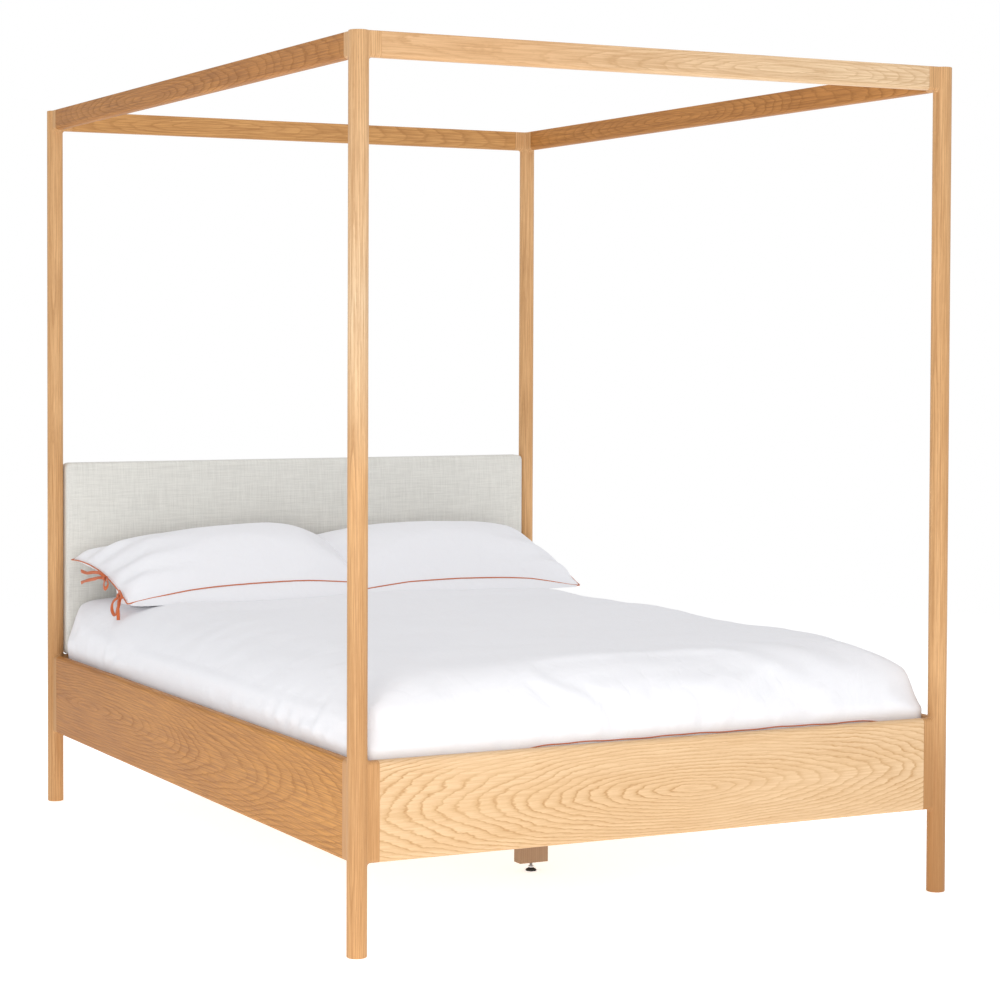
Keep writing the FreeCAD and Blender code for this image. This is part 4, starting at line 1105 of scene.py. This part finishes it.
def make_mattress(ticking, tape):
    low, high = box_of("mattress")
    low[:2] = np.maximum(low[:2], (-MATTRESS_HALF_X, low[1]))
    middle = (low[2] + high[2]) / 2
    upper_low = np.array([low[0], low[1], middle])
    places, faces, rim = shell_lattice(upper_low, high, 0.020)
    rolls = (MATTRESS_ROLL, MATTRESS_ROLL, MATTRESS_ROLL)
    upper = draped_form(places, upper_low, high, 0.060, high[2] - MATTRESS_ROLL, *rolls)
    facing = places[:, 2] > 0.9999
    diagonals = (upper[:, 0] + upper[:, 1], upper[:, 0] - upper[:, 1])
    from_stitch = [np.abs(np.mod(run / QUILT_EVERY, 1) - 0.5) * QUILT_EVERY for run in diagonals]
    puff = 0.008 * np.exp(-(np.minimum(*from_stitch) / 0.016) ** 2)
    rim_near = np.minimum(0.75 - np.abs(upper[:, 0]), 1.0 - np.abs(upper[:, 1] + MATTRESS_BACK))
    upper[:, 2] -= np.where(facing, puff * smoothstep(rim_near, 0.02, 0.06), 0)
    border = np.abs(upper[:, 2] - middle)
    stitched = 0.004 * np.exp(-(np.abs(border - 0.030) / 0.012) ** 2)
    pull = np.where(facing, 0, stitched)
    upper[:, 0] -= np.sign(upper[:, 0]) * pull * smoothstep(np.abs(upper[:, 0]), 0.73, 0.745)
    lengthways = upper[:, 1] + MATTRESS_BACK
    upper[:, 1] -= np.sign(lengthways) * pull * smoothstep(np.abs(lengthways), 0.98, 0.995)
    count = len(upper)
    lower = upper * (1, 1, -1) + (0, 0, 2 * middle)
    joined = list(range(count, 2 * count))
    for index in rim:
        joined[index] = index
    packed = sorted(set(range(count)) | set(joined))
    order = {old: new for new, old in enumerate(packed)}
    whole = [tuple(order[index] for index in face) for face in faces]
    whole += [tuple(order[joined[index]] for index in reversed(face)) for face in faces]
    points = np.vstack([upper, lower])[packed]
    cover = subdivided(add_piece("mattress_cover", points, whole, ticking, "mattress"))
    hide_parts("mattress")
    for edge, height in (("top", high[2] - TAPE_IN), ("bottom", low[2] + TAPE_IN)):
        path = rounded_loop(0.7415, 0.9915, 0.055, (0, -MATTRESS_BACK, height))
        tube("mattress_tape_" + edge, path, TAPE_RADIUS, tape, "mattress", closed=True)


# ---- piping and ties
PIPING_RADIUS = 0.0018
DUVET_PIPING_RADIUS = 0.0014
TIE_WIDTH = 0.0095
TIE_THICKNESS = 0.0007
TIE_SIZE = 1.25
TIE_FACING = Vector((-0.75, -0.65, 0.15)).normalized()

# Tails and loops of the two ties, each from its knot, for a tie of size 1.
TIES = {
    "tie_upper_tail_a": ((0, 0, 0), (-0.008, 0.020, 0.010), (-0.012, 0.055, 0.009), (-0.016, 0.090, 0.005),
                         (-0.018, 0.125, 0.007)),
    "tie_upper_tail_b": ((0, 0, 0), (-0.010, 0.018, 0.000), (-0.014, 0.050, -0.006), (-0.018, 0.085, -0.012),
                         (-0.020, 0.118, -0.020)),
    "tie_upper_loop": ((0, 0, 0), (-0.010, -0.012, -0.012), (-0.012, -0.026, -0.022),
                       (-0.007, -0.030, -0.012), (0.0, -0.004, 0.002)),
    "tie_lower_loop": ((0, 0, 0), (-0.012, 0.014, -0.014), (-0.014, 0.018, -0.032), (-0.013, 0.002, -0.043),
                       (-0.010, -0.010, -0.028), (0, 0, 0)),
    "tie_lower_tail_a": ((0, 0, 0), (-0.010, -0.012, -0.012), (-0.012, -0.018, -0.030),
                         (-0.013, -0.022, -0.052)),
    "tie_lower_tail_b": ((0, 0, 0), (-0.006, -0.010, 0.010), (-0.008, -0.020, 0.010),
                         (-0.008, -0.034, -0.004)),
}


def make_piping(name, world, seam, material, body, node_name):
    """Covered cord sewn in all round the pillow's seam."""
    middle = world.mean(axis=0)
    path = []
    for index in seam:
        outward = world[index] - middle
        outward[2] = 0
        outward /= np.linalg.norm(outward)
        path.append(world[index] + outward * PIPING_RADIUS * 1.1)
    cord = tube(name, smooth_path(path[::2], 0.006, closed=True), PIPING_RADIUS, material, body, closed=True)
    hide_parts(node_name)


def make_duvet_piping(material):
    """Covered cord along the foot hem: in sight over the rail in the middle, tucked down at both ends."""
    foot = box_of("duvet")[0][1]
    corners = []
    for x in np.linspace(-0.69, 0.69, 47):
        shown = smoothstep(x, -0.42, -0.30) * (1 - smoothstep(x, 0.56, 0.66))
        height = 0.4150 + 0.0122 * shown + 0.0010 * math.sin(x * 23) + 0.0006 * math.sin(x * 61 + 1)
        corners.append((x, foot - 0.0004 - 0.0012 * shown, height))
    cord = tube("duvet_piping_cord", smooth_path(corners, 0.006), DUVET_PIPING_RADIUS, material, "duvet")
    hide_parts("duvet_piping")


def ribbon(name, corners, width, material):
    """Flat tape along a path on the left pillow, with its flat side towards TIE_FACING."""
    path = smooth_path(corners, 0.004)
    vertices = []
    for index, point in enumerate(path):
        before, after = path[max(index - 1, 0)], path[min(index + 1, len(path) - 1)]
        along = (after - before).normalized()
        twist = Matrix.Rotation(0.5 * math.sin(index * 0.25), 3, along)
        across = (twist @ along.cross(TIE_FACING)).normalized()
        flat = along.cross(across).normalized()
        for one, other in ((-1, -1), (1, -1), (1, 1), (-1, 1)):
            vertices.append(point + across * width / 2 * one + flat * TIE_THICKNESS / 2 * other)
    piece = add_piece(name, vertices, ring_faces(len(path), 4), material, "pillow_left")


def make_ties(world, seam, material):
    """Two ribbon ties that close the open end of the left pillowcase."""
    end = [world[index] for index in seam if world[index][0] < -0.66]
    end.sort(key=lambda point: point[1])

    def knot_at(y):
        nearest = min(end, key=lambda point: abs(point[1] - y))
        return Vector(nearest) + Vector((-0.006, -0.002, 0.0))

    knots = {"upper": knot_at(0.770), "lower": knot_at(0.680)}
    for name, steps in TIES.items():
        knot = knots[name.split("_")[1]]
        ribbon(name, [knot + Vector(step) * TIE_SIZE for step in steps], TIE_WIDTH, material)
    for place, knot in knots.items():
        turns = []
        for step in range(15):
            angle = math.tau * step / 7
            wound = (-0.004 + 0.0050 * math.cos(angle), 0.0015 * (step - 7) / 3, 0.0055 * math.sin(angle))
            turns.append(knot + Vector(wound))
        ribbon(f"tie_{place}_knot", turns, 0.006, material)


# ---- the whole scene
make_camera()
make_studio()
finish_timber()
finish_fixings()

linen = woven_material("headboard_linen", (0.79, 0.78, 0.73), (0.64, 0.63, 0.585), 0.0011, 0.5, 0.5, 0.6)
cotton = cotton_material("white_cotton", (0.84, 0.84, 0.865), (0.80, 0.80, 0.83), 0.25)
ticking = woven_material("mattress_ticking", (0.84, 0.83, 0.80), (0.70, 0.69, 0.66), 0.0012, 0.5, 0.2, 0.4)
tape = cord_material("mattress_tape", (0.80, 0.79, 0.76), (0.62, 0.61, 0.58), 0.0020)
coral = cord_material("coral_piping", (0.62, 0.17, 0.055), (0.46, 0.11, 0.035), 0.0012)
ribbon_coral = cord_material("coral_ribbon", (0.66, 0.15, 0.035), (0.45, 0.085, 0.02), 0.0009)
staple_wire = metal_material("staple_wire", (0.60, 0.60, 0.62), (0.45, 0.45, 0.47), 0.3, 200.0)

make_headboard(linen, staple_wire)
make_mattress(ticking, tape)
made = {}
for side, look in PILLOWS.items():
    made[side] = make_pillow("pillow_cover_" + side, look, cotton, "pillow_" + side)
resting, resting_faces = [], []
for side, (world, seam, faces) in made.items():
    resting_faces += [tuple(len(resting) + index for index in face) for face in faces]
    resting += [Vector(point) for point in world]
    make_piping("pillow_piping_" + side, world, seam, coral, "pillow_" + side, f"pillow_{side}_piping")
left_world, left_seam, _ = made["left"]
make_ties(left_world, left_seam, ribbon_coral)
make_duvet(cotton, BVHTree.FromPolygons(resting, resting_faces))
make_duvet_piping(coral)
